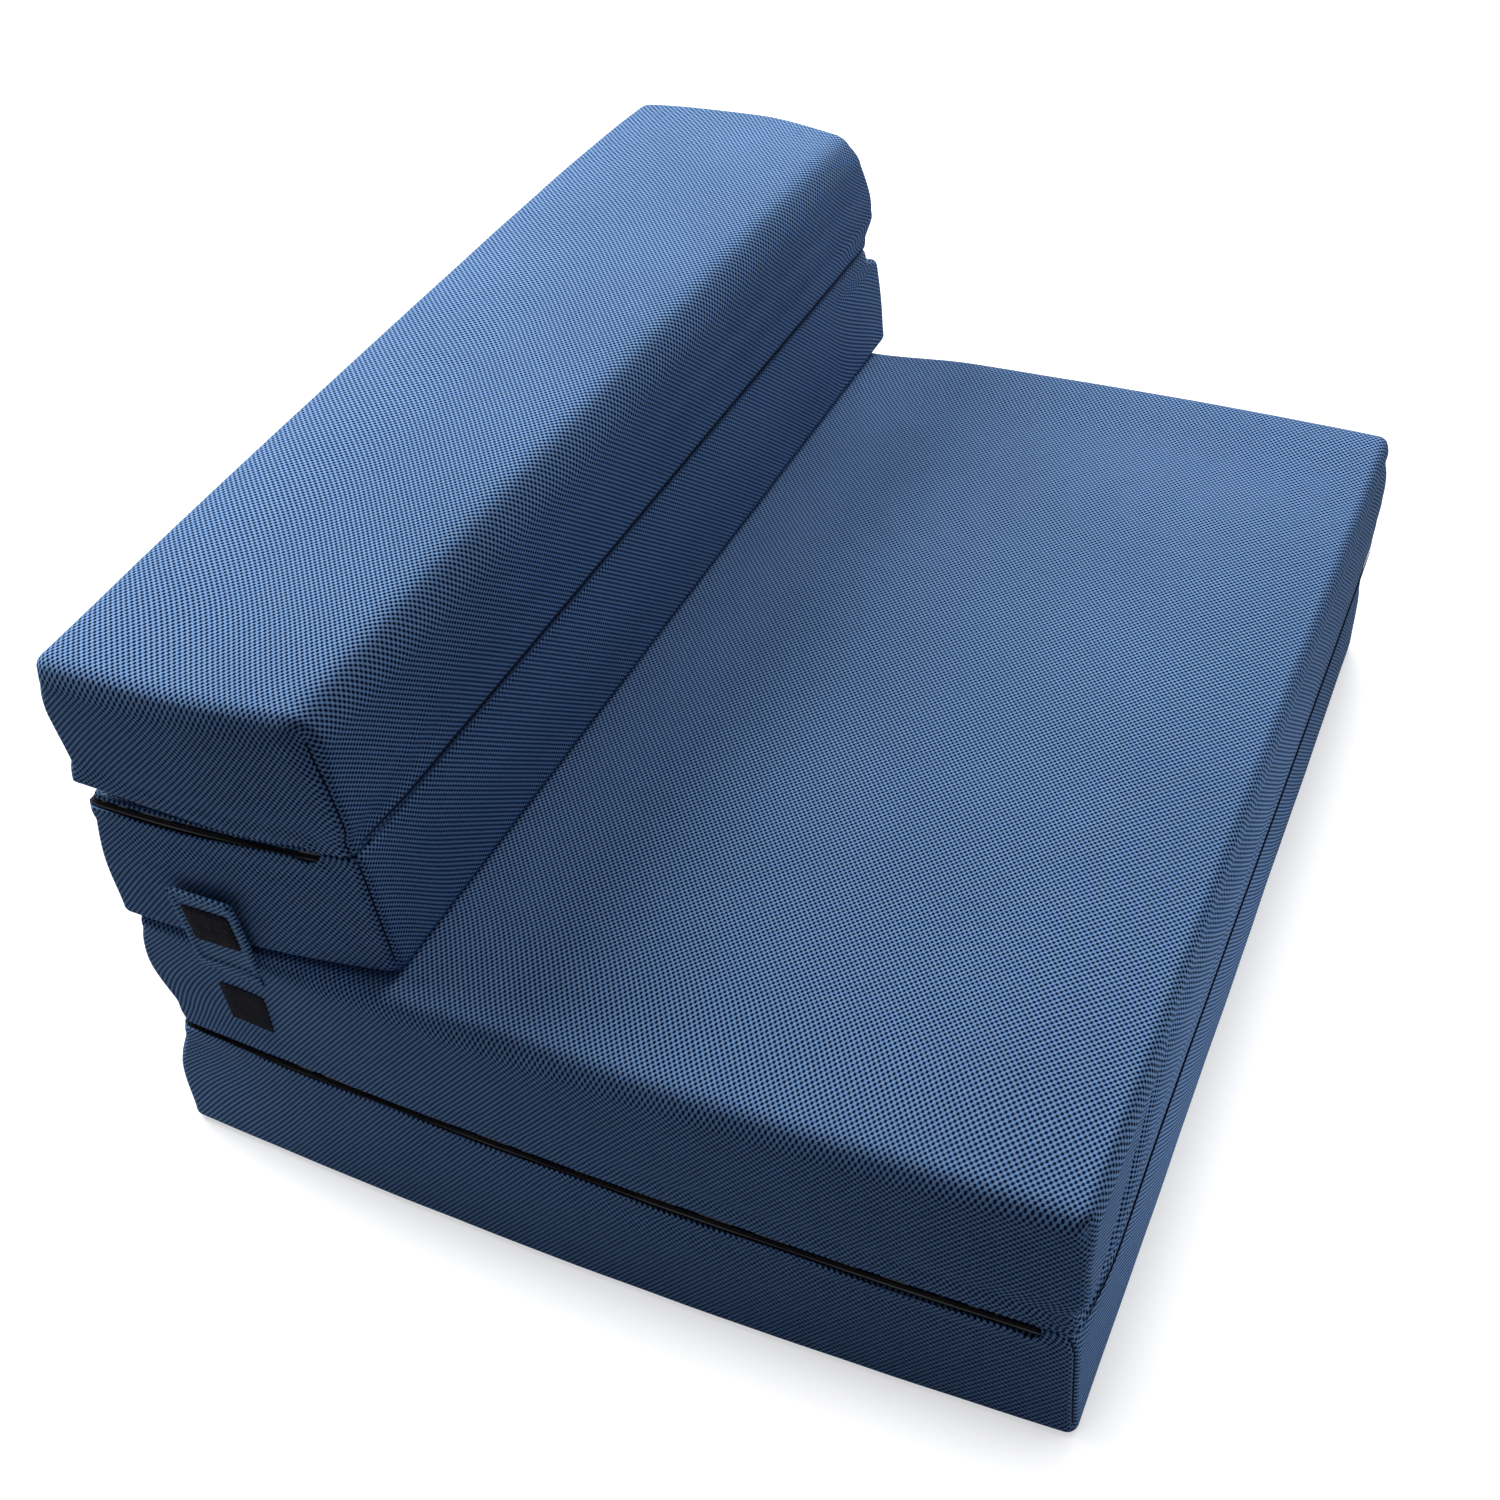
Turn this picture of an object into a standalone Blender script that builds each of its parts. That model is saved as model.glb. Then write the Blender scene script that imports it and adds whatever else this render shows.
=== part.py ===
"""A Z-folding foam mattress, folded into a low seat with a backrest.

Four box cushions are stacked: two deep ones make the seat and two short ones the backrest.
Each is a foam core in a mesh cover whose inner side is closed by a base sheet and a zip.
X runs along the mattress's width, the seat's front looks towards -Y, and the origin is on
the floor under the middle of the stack.
"""

import math

import bmesh
import bpy
from mathutils import Matrix, Vector

# Cushions: the opened mattress is twice the seat's depth and twice the backrest's depth long.
MATTRESS_WIDTH = 0.965
SEAT_DEPTH = 0.762
BACK_DEPTH = 0.2286
FOAM_THICKNESS = 0.1143
FABRIC = 0.0035
FIT_GAP = 0.0005
LAYER_GAP = 0.0008
AXIS_CLEARANCE = 0.0003

# Stuffed form: soft edges, and how far faces bulge or pull in.
FACE_RADIUS = 0.016
CORNER_RADIUS = 0.010
HINGE_EDGE_RADIUS = 0.008
FOAM_EASE = 0.002
SEAT_CROWN = 0.005
PRESSED_CROWN = 0.003
BACK_CROWN = 0.007
END_BULGE = 0.009
EDGE_BULGE_SHARE = 0.7
BULGE_SHARE = 1 / 3
CORNER_DRAW = 0.003
HINGE_NOTCH = 0.005
SIDE_REACH = 0.024
ROUNDING_STEPS = 3
WIDTH_CUT_SHARES = (0.6, 0.88)
SEAT_CUT_SHARES = (-0.8, -0.4, 0.0, 0.4, 0.8)
BACK_CUT_SHARES = (-0.4, 0.4)

# Fold hinges: a strip of cover fabric sewn into each fold.
HINGE_STRIP_THICKNESS = 0.0012
REAR_STRIP_WIDTH = 0.005

# Zips: a band on the inner edge of both ends and the rear.
ZIP_HEIGHT = 0.0078
ZIP_END_DISTANCE = 0.028
TAPE_THICKNESS = 0.0008
TAPE_RECESS = 0.0018
TAPE_SLIT = 0.0006
COIL_HEIGHT = 0.0028
COIL_THICKNESS = 0.0013
COIL_CLEARANCE = 0.0003

# Zip sliders and pulls.
SLIDER_LENGTH = 0.011
SLIDER_PLATE = 0.002
SLIDER_FLANGE = 0.0011
SLIDER_CLEARANCE = 0.0004
SLIDER_PARKING = 0.003
BAIL_BORE_HALF = 0.0012
BAIL_BORE_HEIGHT = 0.0019
BAIL_WALL = 0.001
BAIL_WIDTH = 0.0016
PULL_LENGTH = 0.024
PULL_WIDTH = 0.006
PULL_THICKNESS = 0.0011
PULL_EYE_LENGTH = 0.0034
PULL_EYE_WIDTH = 0.0028
PULL_CORNER_RADIUS = 0.0015

# Hook-and-loop tabs on the ends of the upper seat cushion.
TAB_WIDTH = 0.060
TAB_LENGTH = 0.085
TAB_THICKNESS = 0.0024
TAB_CORNER_RADIUS = 0.005
TAB_REAR_DISTANCE = 0.092
TAB_ROOT_DEPTH = 0.0175
TAB_LEAN = math.radians(4)
TAB_ROOT_ABOVE = 0.004
TAB_ROOT_BELOW = 0.006
TAB_ROOT_THICKNESS = 0.0033
TAB_ROOT_GAP = 0.0006
PATCH_WIDTH = 0.042
PATCH_HEIGHT = 0.040
PATCH_THICKNESS = 0.0012
PATCH_GAP = 0.0003
PATCH_DISTANCE = 0.030
PATCH_CORNER_RADIUS = 0.002
CORNER_STEPS = 4

# Worked out from the sizes above.
LAYER = FOAM_THICKNESS + 2 * (FABRIC + FIT_GAP)
PITCH = LAYER + LAYER_GAP
HALF_WIDTH = MATTRESS_WIDTH / 2
FRONT_AXIS_Y = -SEAT_DEPTH / 2
REAR_AXIS_Y = SEAT_DEPTH / 2
BACKREST_AXIS_Y = REAR_AXIS_Y - BACK_DEPTH
RIM_DEPTH = FABRIC + FIT_GAP
SEAM_DEPTH = RIM_DEPTH + ZIP_HEIGHT + FIT_GAP
TAPE_HEIGHT = (ZIP_HEIGHT - TAPE_SLIT) / 2
ZIP_MIDDLE_DEPTH = RIM_DEPTH + ZIP_HEIGHT / 2
COIL_FACE = COIL_THICKNESS + COIL_CLEARANCE - TAPE_RECESS
SLIDER_FACE = COIL_FACE + SLIDER_CLEARANCE + SLIDER_PLATE
BAIL_AXIS_HEIGHT = BAIL_BORE_HEIGHT / 2
TAB_AXIS_OFFSET = PATCH_GAP + TAB_ROOT_THICKNESS + TAB_ROOT_GAP + TAB_THICKNESS / 2

# Numbers under these are rounding, not a distance.
TOLERANCE = 1e-6
MERGE_DISTANCE = 1e-5


class Cushion:
    """Where one cushion of the stack lies, which way its outer face looks, and its crown."""

    def __init__(self, name, level, front_axis, cut_shares, outer_up, hinged_at_rear, crown):
        self.name = name
        self.front = front_axis + AXIS_CLEARANCE
        self.rear = REAR_AXIS_Y - AXIS_CLEARANCE
        self.middle = (self.rear + self.front) / 2
        self.half_depth = (self.rear - self.front) / 2
        self.rings = [self.middle + self.half_depth * share for share in cut_shares]
        self.zip_start = self.front + ZIP_END_DISTANCE
        low = level * PITCH
        high = low + LAYER
        self.outer_z = high if outer_up else low
        self.inner_z = low if outer_up else high
        self.out = 1 if outer_up else -1
        self.hinged_at_rear = hinged_at_rear
        self.crown = crown

    def height(self, depth):
        """The height of a place that lies this deep under the inner face."""
        return self.inner_z + self.out * depth


CUSHIONS = (
    Cushion("seat_lower", 0, FRONT_AXIS_Y, SEAT_CUT_SHARES, False, False, 0),
    Cushion("seat_upper", 1, FRONT_AXIS_Y, SEAT_CUT_SHARES, True, True, SEAT_CROWN),
    Cushion("back_lower", 2, BACKREST_AXIS_Y, BACK_CUT_SHARES, False, True, PRESSED_CROWN),
    Cushion("back_upper", 3, BACKREST_AXIS_Y, BACK_CUT_SHARES, True, False, BACK_CROWN),
)
seat_upper = CUSHIONS[1]


def between_cushions(level):
    """The height of the fold under the cushion of this level."""
    return level * PITCH - LAYER_GAP / 2


def limited(share):
    """A share kept between nothing and all."""
    return max(0, min(1, share))


def end_bulge(cushion, y, depth):
    """How far an end stands out: not at the zip, most at half height, less at the outer edge."""
    along = (y - cushion.middle) / cushion.half_depth
    third = LAYER * BULGE_SHARE
    rise = limited((depth - SEAM_DEPTH) / (third - SEAM_DEPTH))
    ease = (1 - EDGE_BULGE_SHARE) * limited((depth - LAYER + third) / third)
    return END_BULGE * rise * (1 - ease) * limited(1 - along**2)


def formed(cushion, point):
    """The place on the stuffed cushion of a point of its plain box.

    The ends bulge, the front and rear borders pull in at the corners, the hinged border has a
    notch along its inner edge, and the outer face falls towards its free edges.
    """
    across = point.x / HALF_WIDTH
    depth = (point.z - cushion.inner_z) * cushion.out
    from_front = point.y - cushion.front
    from_rear = cushion.rear - point.y
    x = point.x + across * end_bulge(cushion, point.y, depth)
    corner = CORNER_DRAW * min(1, across**4)
    notch = HINGE_NOTCH * limited(1 - depth / SEAM_DEPTH)
    y = point.y + limited(2 - 2 * from_front / SIDE_REACH) * (corner + notch)
    y -= limited(2 - 2 * from_rear / SIDE_REACH) * corner
    inside = point.x / (HALF_WIDTH - RIM_DEPTH)
    along = (point.y - cushion.middle) / (cushion.half_depth - RIM_DEPTH)
    kept = 1 if cushion.hinged_at_rear and along > 0 else limited(1 - along**4)
    fall = cushion.crown * (1 - limited(1 - inside**4) * kept)
    return Vector((x, y, point.z - cushion.out * fall * depth / LAYER))


def material(name, colour, roughness, metallic=0.0):
    made = bpy.data.materials.new(name)
    made.use_nodes = True
    shader = made.node_tree.nodes["Principled BSDF"]
    shader.inputs["Base Color"].default_value = (*colour, 1)
    shader.inputs["Roughness"].default_value = roughness
    shader.inputs["Metallic"].default_value = metallic
    made.diffuse_color = (*colour, 1)
    return made


def new_collection(name):
    made = bpy.data.collections.new(name)
    bpy.context.scene.collection.children.link(made)
    return made


def add_object(name, mesh, finish, pivot):
    """A named piece whose mesh is in the stack's frame, carried by the empty on its joint."""
    obj = bpy.data.objects.new(name, mesh)
    mesh.materials.append(finish)
    parts.objects.link(obj)
    obj.parent = pivot
    obj.matrix_parent_inverse = pivot.matrix_world.inverted()
    return obj


def add_pivot(name, place, parent=None):
    """An empty on a joint's axis."""
    empty = bpy.data.objects.new(name, None)
    parts.objects.link(empty)
    if parent:
        empty.parent = parent
        empty.matrix_parent_inverse = parent.matrix_world.inverted()
    empty.matrix_world = Matrix.Translation(place)
    return empty


def box_mesh(low, high):
    """A bmesh cube stretched between two corners."""
    mesh = bmesh.new()
    bmesh.ops.create_cube(mesh, size=1)
    size = Vector(high) - Vector(low)
    centre = (Vector(high) + Vector(low)) / 2
    bmesh.ops.scale(mesh, vec=size, verts=mesh.verts)
    bmesh.ops.translate(mesh, vec=centre, verts=mesh.verts)
    return mesh


def cut(mesh, axis, place):
    """Adds a ring of edges where a plane across one axis meets the mesh."""
    point = Vector((0, 0, 0))
    point[axis] = place
    normal = Vector((0, 0, 0))
    normal[axis] = 1
    whole = list(mesh.verts) + list(mesh.edges) + list(mesh.faces)
    bmesh.ops.bisect_plane(mesh, geom=whole, plane_co=point, plane_no=normal, dist=TOLERANCE)


def cut_for_form(mesh, cushion):
    """The rings of edges that the stuffed form needs, the same in every layer of a cushion."""
    for share in WIDTH_CUT_SHARES:
        cut(mesh, 0, HALF_WIDTH * share)
    for place in (*cushion.rings, cushion.zip_start):
        cut(mesh, 1, place)
    for depth in (SEAM_DEPTH, LAYER * BULGE_SHARE, LAYER * (1 - BULGE_SHARE)):
        cut(mesh, 2, cushion.height(depth))


def all_at(edge_or_face, axis, place):
    return all(abs(vert.co[axis] - place) < TOLERANCE for vert in edge_or_face.verts)


def weigh_edges(mesh, cushion, low, high, inset, ease=0):
    """Marks how round each edge of a half box is: upright corners, and the outer face's rim."""
    layer = mesh.edges.layers.float.new("bevel_weight_edge")
    widest = FACE_RADIUS - inset + ease
    corner = (CORNER_RADIUS - inset + ease) / widest
    hinge = (HINGE_EDGE_RADIUS - inset + ease) / widest
    outer = cushion.outer_z - cushion.out * inset
    for edge in mesh.edges:
        on_end = all_at(edge, 0, high.x)
        on_rear = all_at(edge, 1, high.y)
        on_side = on_rear or all_at(edge, 1, low.y)
        on_outer_face = all_at(edge, 2, outer)
        if on_end and on_side:
            edge[layer] = corner
        elif on_outer_face and on_rear and cushion.hinged_at_rear:
            edge[layer] = hinge
        elif on_outer_face and (on_end or on_side):
            edge[layer] = 1
    return widest


def finish_form(mesh, cushion, name, finish, pivot, rounding, wall=0):
    """Moves the half box's points to the stuffed form, mirrors and rounds it, and adds its wall."""
    middle = [face for face in mesh.faces if all_at(face, 0, 0)]
    bmesh.ops.delete(mesh, geom=middle, context="FACES")
    for vert in mesh.verts:
        vert.co = formed(cushion, vert.co)
    bmesh.ops.recalc_face_normals(mesh, faces=mesh.faces)
    data = bpy.data.meshes.new(name)
    mesh.to_mesh(data)
    mesh.free()
    data.shade_smooth()
    obj = add_object(name, data, finish, pivot)
    mirror = obj.modifiers.new("other half", "MIRROR")
    mirror.merge_threshold = MERGE_DISTANCE
    bevel = obj.modifiers.new("rounding", "BEVEL")
    bevel.limit_method = "WEIGHT"
    bevel.width = rounding
    bevel.segments = ROUNDING_STEPS
    bevel.use_clamp_overlap = False
    split = obj.modifiers.new("flat faces", "TRIANGULATE")
    split.quad_method = "FIXED_ALTERNATE"
    if wall:
        solid = obj.modifiers.new("wall", "SOLIDIFY")
        solid.thickness = wall
        solid.offset = -1
        solid.use_even_offset = True


def half_box(cushion, inset, shallow, deep):
    """The corners of a cushion's far half, drawn in all round, between two depths."""
    heights = sorted((cushion.height(shallow), cushion.height(deep)))
    low = Vector((0, cushion.front + inset, heights[0]))
    high = Vector((HALF_WIDTH - inset, cushion.rear - inset, heights[1]))
    return low, high


def make_foam(cushion, pivot):
    """The foam core: the cushion's form, smaller by the fabric and the air round the core."""
    low, high = half_box(cushion, RIM_DEPTH, RIM_DEPTH, LAYER - RIM_DEPTH)
    mesh = box_mesh(low, high)
    cut_for_form(mesh, cushion)
    rounding = weigh_edges(mesh, cushion, low, high, RIM_DEPTH, FOAM_EASE)
    finish_form(mesh, cushion, cushion.name + "_foam", foam, pivot, rounding)


def make_cover(cushion, pivot):
    """The cover: outer face and four borders in one shell, cut away where the zip is sewn in."""
    low, high = half_box(cushion, 0, RIM_DEPTH, LAYER)
    mesh = box_mesh(low, high)
    cut_for_form(mesh, cushion)
    seam = cushion.height(SEAM_DEPTH)
    rim = cushion.height(RIM_DEPTH)

    def is_open(face):
        centre = face.calc_center_median()
        in_band = (seam - centre.z) * cushion.out > 0
        return all_at(face, 2, rim) or (in_band and centre.y > cushion.zip_start)

    bmesh.ops.delete(mesh, geom=[f for f in mesh.faces if is_open(f)], context="FACES")
    rounding = weigh_edges(mesh, cushion, low, high, 0)
    name = cushion.name + "_cover"
    finish_form(mesh, cushion, name, air_mesh, pivot, rounding, FABRIC)


def make_base_sheet(cushion, pivot):
    """The sheet that closes the cover's inner side, between the zip and the fold hinge."""
    low, high = half_box(cushion, 0, 0, FABRIC)
    mesh = box_mesh(low, high)
    cut_for_form(mesh, cushion)
    rounding = weigh_edges(mesh, cushion, low, high, 0)
    finish_form(mesh, cushion, cushion.name + "_base_sheet", air_mesh, pivot, rounding)


def make_zip_strip(cushion, pivot, name, finish, inset, shallow, deep, wall):
    """A band along both ends and the rear, from one end of the zip to the other."""
    low, high = half_box(cushion, inset, shallow, deep)
    low.y = cushion.zip_start + FIT_GAP
    mesh = box_mesh(low, high)
    cut_for_form(mesh, cushion)

    def is_open(face):
        return all_at(face, 1, low.y) or all_at(face, 2, low.z) or all_at(face, 2, high.z)

    bmesh.ops.delete(mesh, geom=[f for f in mesh.faces if is_open(f)], context="FACES")
    rounding = weigh_edges(mesh, cushion, low, high, inset)
    finish_form(mesh, cushion, cushion.name + name, finish, pivot, rounding, wall)


def make_zip(cushion, pivot):
    """The zip's two tapes, edge to edge in the band, and the coil that closes them."""
    tape_end = RIM_DEPTH + TAPE_HEIGHT
    for name, start in (("_zip_tape_base", RIM_DEPTH), ("_zip_tape_cover", tape_end + TAPE_SLIT)):
        make_zip_strip(
            cushion, pivot, name, zip_cloth, TAPE_RECESS, start, start + TAPE_HEIGHT, TAPE_THICKNESS
        )
    shallow = ZIP_MIDDLE_DEPTH - COIL_HEIGHT / 2
    deep = ZIP_MIDDLE_DEPTH + COIL_HEIGHT / 2
    make_zip_strip(
        cushion, pivot, "_zip_coil", zip_nylon, -COIL_FACE, shallow, deep, COIL_THICKNESS
    )


def rounded_rectangle(low, high, radius):
    """The outline of a rectangle with round corners, anticlockwise from its lower left corner."""
    points = []
    corners = ((low[0], low[1], 2), (high[0], low[1], 3), (high[0], high[1], 0), (low[0], high[1], 1))
    for x, y, quarter in corners:
        centre_x = x + radius if x == low[0] else x - radius
        centre_y = y + radius if y == low[1] else y - radius
        for step in range(CORNER_STEPS + 1):
            angle = (quarter + step / CORNER_STEPS) * math.pi / 2
            points.append((centre_x + radius * math.cos(angle), centre_y + radius * math.sin(angle)))
    return points


def extruded(name, outlines, half_thickness):
    """A flat outline, with any holes, as a solid of twice this half thickness."""
    curve = bpy.data.curves.new(name, "CURVE")
    curve.dimensions = "2D"
    curve.fill_mode = "BOTH"
    curve.extrude = half_thickness
    for outline in outlines:
        spline = curve.splines.new("POLY")
        spline.points.add(len(outline) - 1)
        spline.use_cyclic_u = True
        for point, place in zip(spline.points, outline):
            point.co = (*place, 0, 1)
    guide = bpy.data.objects.new(name, curve)
    bpy.context.scene.collection.objects.link(guide)
    graph = bpy.context.evaluated_depsgraph_get()
    mesh = bpy.data.meshes.new_from_object(guide.evaluated_get(graph))
    bpy.data.objects.remove(guide)
    bpy.data.curves.remove(curve)
    work = bmesh.new()
    work.from_mesh(mesh)
    bmesh.ops.remove_doubles(work, verts=work.verts, dist=TOLERANCE)
    bmesh.ops.recalc_face_normals(work, faces=work.faces)
    work.to_mesh(mesh)
    work.free()
    return mesh


def turned(mesh, first, second, third, place):
    """Lays a flat solid into the stack: its x, y and thickness go along these directions."""
    axes = Matrix((first, second, third)).transposed().to_4x4()
    mesh.transform(Matrix.Translation(place) @ axes)
    return mesh


def slider_place(cushion):
    """The middle of a parked slider, on the face of the zip's coil at the far end."""
    y = cushion.zip_start + SLIDER_PARKING + SLIDER_LENGTH / 2
    return formed(cushion, Vector((HALF_WIDTH, y, cushion.height(ZIP_MIDDLE_DEPTH))))


def make_slider(cushion, pivot):
    """The slider: a plate over the coil, a flange on each side of it, and a bail for the pull."""
    place = slider_place(cushion)
    inner = COIL_FACE - COIL_THICKNESS
    under = COIL_FACE + SLIDER_CLEARANCE
    reach = COIL_HEIGHT / 2 + SLIDER_CLEARANCE
    edge = reach + SLIDER_FLANGE
    section = (
        (SLIDER_FACE, -edge),
        (SLIDER_FACE, edge),
        (inner, edge),
        (inner, reach),
        (under, reach),
        (under, -reach),
        (inner, -reach),
        (inner, -edge),
    )
    mesh = extruded(cushion.name + "_zip_slider", [section], SLIDER_LENGTH / 2)
    turned(mesh, (1, 0, 0), (0, 0, 1), (0, -1, 0), place)
    slider = add_object(cushion.name + "_zip_slider", mesh, zip_metal, pivot)
    outer_half = BAIL_BORE_HALF + BAIL_WALL
    foot = SLIDER_FACE - SLIDER_PLATE / 2
    top = SLIDER_FACE + BAIL_BORE_HEIGHT
    arch = (
        (foot, -outer_half),
        (top + BAIL_WALL, -outer_half),
        (top + BAIL_WALL, outer_half),
        (foot, outer_half),
        (foot, BAIL_BORE_HALF),
        (top, BAIL_BORE_HALF),
        (top, -BAIL_BORE_HALF),
        (foot, -BAIL_BORE_HALF),
    )
    bail_mesh = extruded("bail", [arch], BAIL_WIDTH / 2)
    turned(bail_mesh, (1, 0, 0), (0, 1, 0), (0, 0, 1), place)
    bail = bpy.data.objects.new(cushion.name + "_bail", bail_mesh)
    helpers.objects.link(bail)
    bail.hide_render = True
    bail.display_type = "WIRE"
    union = slider.modifiers.new("bail", "BOOLEAN")
    union.operation = "UNION"
    union.object = bail


def make_pull(cushion, pivot):
    """The pull: a flat tongue whose eye goes round the slider's bail, lying along the zip."""
    place = slider_place(cushion) + Vector((SLIDER_FACE + BAIL_AXIS_HEIGHT, 0, 0))
    half = PULL_WIDTH / 2
    bar = PULL_THICKNESS / 2
    outer = rounded_rectangle((-bar, -half), (PULL_LENGTH, half), PULL_CORNER_RADIUS)
    eye_half = PULL_EYE_WIDTH / 2
    eye_end = bar + PULL_EYE_LENGTH
    eye = [(bar, -eye_half), (eye_end, -eye_half), (eye_end, eye_half), (bar, eye_half)]
    mesh = extruded(cushion.name + "_zip_pull", [outer, eye], PULL_THICKNESS / 2)
    turned(mesh, (0, 1, 0), (0, 0, 1), (1, 0, 0), place)
    add_object(cushion.name + "_zip_pull", mesh, zip_metal, pivot)


def make_hinge_strip(name, pivot, axis_y, axis_z, inward, width):
    """A flat strip of fabric in the fold, from the hinge's axis to the sewn edges."""
    edges = sorted((axis_y, axis_y + inward * width))
    half = HINGE_STRIP_THICKNESS / 2
    reach = HALF_WIDTH - CORNER_RADIUS
    mesh = box_mesh((-reach, edges[0], axis_z - half), (reach, edges[1], axis_z + half))
    data = bpy.data.meshes.new(name)
    mesh.to_mesh(data)
    mesh.free()
    add_object(name, data, air_mesh, pivot)


def on_border(side, y, z, standoff):
    """A place this far outside the end of the upper seat cushion."""
    place = formed(seat_upper, Vector((side * HALF_WIDTH, y, z)))
    place.x += side * standoff
    return place


def tab_axis(side):
    """The middle of a tab's fold line, clear of where its root stands out most."""
    y = REAR_AXIS_Y - TAB_REAR_DISTANCE
    z = seat_upper.outer_z - TAB_ROOT_DEPTH
    place = on_border(side, y, z, 0)
    place.x = on_border(side, y - TAB_WIDTH / 2, z - TAB_ROOT_BELOW, TAB_AXIS_OFFSET).x
    return place


def make_on_end(name, side, pivot, finish, half_width, above, below, standoff, thickness):
    """A flat piece sewn on an end of the upper seat cushion, which follows the border's bulge."""
    middle_y = REAR_AXIS_Y - TAB_REAR_DISTANCE
    root_z = seat_upper.outer_z - TAB_ROOT_DEPTH
    mesh = bmesh.new()
    bmesh.ops.create_grid(mesh, x_segments=2, y_segments=2, size=1)
    for vert in mesh.verts:
        y = middle_y + vert.co.x * half_width
        z = root_z + (above - below) / 2 + vert.co.y * (above + below) / 2
        vert.co = (0, y, z)
    cut_for_form(mesh, seat_upper)
    for vert in mesh.verts:
        vert.co = on_border(side, vert.co.y, vert.co.z, standoff + thickness)
    data = bpy.data.meshes.new(name)
    mesh.to_mesh(data)
    mesh.free()
    if side < 0:
        data.flip_normals()
    obj = add_object(name, data, finish, pivot)
    solid = obj.modifiers.new("wall", "SOLIDIFY")
    solid.thickness = thickness
    solid.offset = -1


def make_tab(prefix, side, seat_pivot, pivot):
    """A tab turned up against the backrest, its hook patch, its sewn root and the loop patch."""
    make_on_end(
        prefix + "_tab_root", side, seat_pivot, air_mesh, TAB_WIDTH / 2,
        TAB_ROOT_ABOVE, TAB_ROOT_BELOW, PATCH_GAP, TAB_ROOT_THICKNESS,
    )
    make_on_end(
        prefix + "_tab_loop", side, seat_pivot, hook_and_loop, PATCH_WIDTH / 2,
        -PATCH_DISTANCE, PATCH_DISTANCE + PATCH_HEIGHT, PATCH_GAP, PATCH_THICKNESS,
    )
    axis = tab_axis(side)
    up = Vector((side * math.sin(TAB_LEAN), 0, math.cos(TAB_LEAN)))
    out = Vector((side * math.cos(TAB_LEAN), 0, -math.sin(TAB_LEAN)))
    across = up.cross(out)
    half = TAB_WIDTH / 2
    flap = rounded_rectangle((-half, 0), (half, TAB_LENGTH), TAB_CORNER_RADIUS)
    mesh = extruded(prefix + "_tab", [flap], TAB_THICKNESS / 2)
    add_object(prefix + "_tab", turned(mesh, across, up, out, axis), air_mesh, pivot)
    half = PATCH_WIDTH / 2
    top = PATCH_DISTANCE + PATCH_HEIGHT
    patch = rounded_rectangle((-half, PATCH_DISTANCE), (half, top), PATCH_CORNER_RADIUS)
    mesh = extruded(prefix + "_tab_hook", [patch], PATCH_THICKNESS / 2)
    lift = (TAB_THICKNESS + PATCH_THICKNESS) / 2 + PATCH_GAP
    turned(mesh, across, up, out, axis + out * lift)
    add_object(prefix + "_tab_hook", mesh, hook_and_loop, pivot)


for old in list(bpy.data.objects):
    bpy.data.objects.remove(old)

parts = new_collection("folding_mattress")
helpers = new_collection("helpers")
air_mesh = material("air_mesh", (0.05, 0.13, 0.33), 0.85)
foam = material("foam", (0.85, 0.82, 0.70), 0.95)
zip_cloth = material("zip_cloth", (0.012, 0.011, 0.012), 0.8)
zip_nylon = material("zip_nylon", (0.014, 0.013, 0.014), 0.4)
zip_metal = material("zip_metal", (0.03, 0.03, 0.03), 0.35, 0.9)
hook_and_loop = material("hook_and_loop", (0.02, 0.02, 0.022), 0.9)

HINGES = (
    ("seat_fold_strip", FRONT_AXIS_Y, between_cushions(1), 1, HINGE_NOTCH - FIT_GAP),
    ("rear_fold_strip", REAR_AXIS_Y, between_cushions(2), -1, REAR_STRIP_WIDTH),
    ("backrest_fold_strip", BACKREST_AXIS_Y, between_cushions(3), 1, HINGE_NOTCH - FIT_GAP),
)

pivots = [add_pivot("seat_lower_base", Vector((0, 0, 0)))]
for cushion, (name, y, z, inward, width) in zip(CUSHIONS[1:], HINGES):
    make_hinge_strip(name, pivots[-1], y, z, inward, width)
    pivots.append(add_pivot(cushion.name + "_pivot", Vector((0, y, z)), pivots[-1]))

for cushion, pivot in zip(CUSHIONS, pivots):
    make_foam(cushion, pivot)
    make_cover(cushion, pivot)
    make_base_sheet(cushion, pivot)
    make_zip(cushion, pivot)
    slider_pivot = add_pivot(cushion.name + "_slider_pivot", slider_place(cushion), pivot)
    make_slider(cushion, slider_pivot)
    bail_axis = slider_place(cushion) + Vector((SLIDER_FACE + BAIL_AXIS_HEIGHT, 0, 0))
    make_pull(cushion, add_pivot(cushion.name + "_pull_pivot", bail_axis, slider_pivot))

for prefix, side in (("near", -1), ("far", 1)):
    tab_pivot = add_pivot(prefix + "_tab_pivot", tab_axis(side), pivots[1])
    make_tab(prefix, side, pivots[1], tab_pivot)
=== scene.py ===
# %% [markdown]
# # A folding foam mattress, dressed in open mesh
#
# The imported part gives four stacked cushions, their fold hinges, their zips and two
# fastening tabs. This lesson replaces the plain solids by sewn, stuffed ones: each cover is
# one net of fabric that turns over the cushion's edges, bows out between its corners and
# tucks in at its zip. Every size that the solids already hold is read from them.

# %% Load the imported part
import copy
import math

import bmesh
import bpy
import numpy as np
from mathutils import Matrix, Vector


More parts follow.
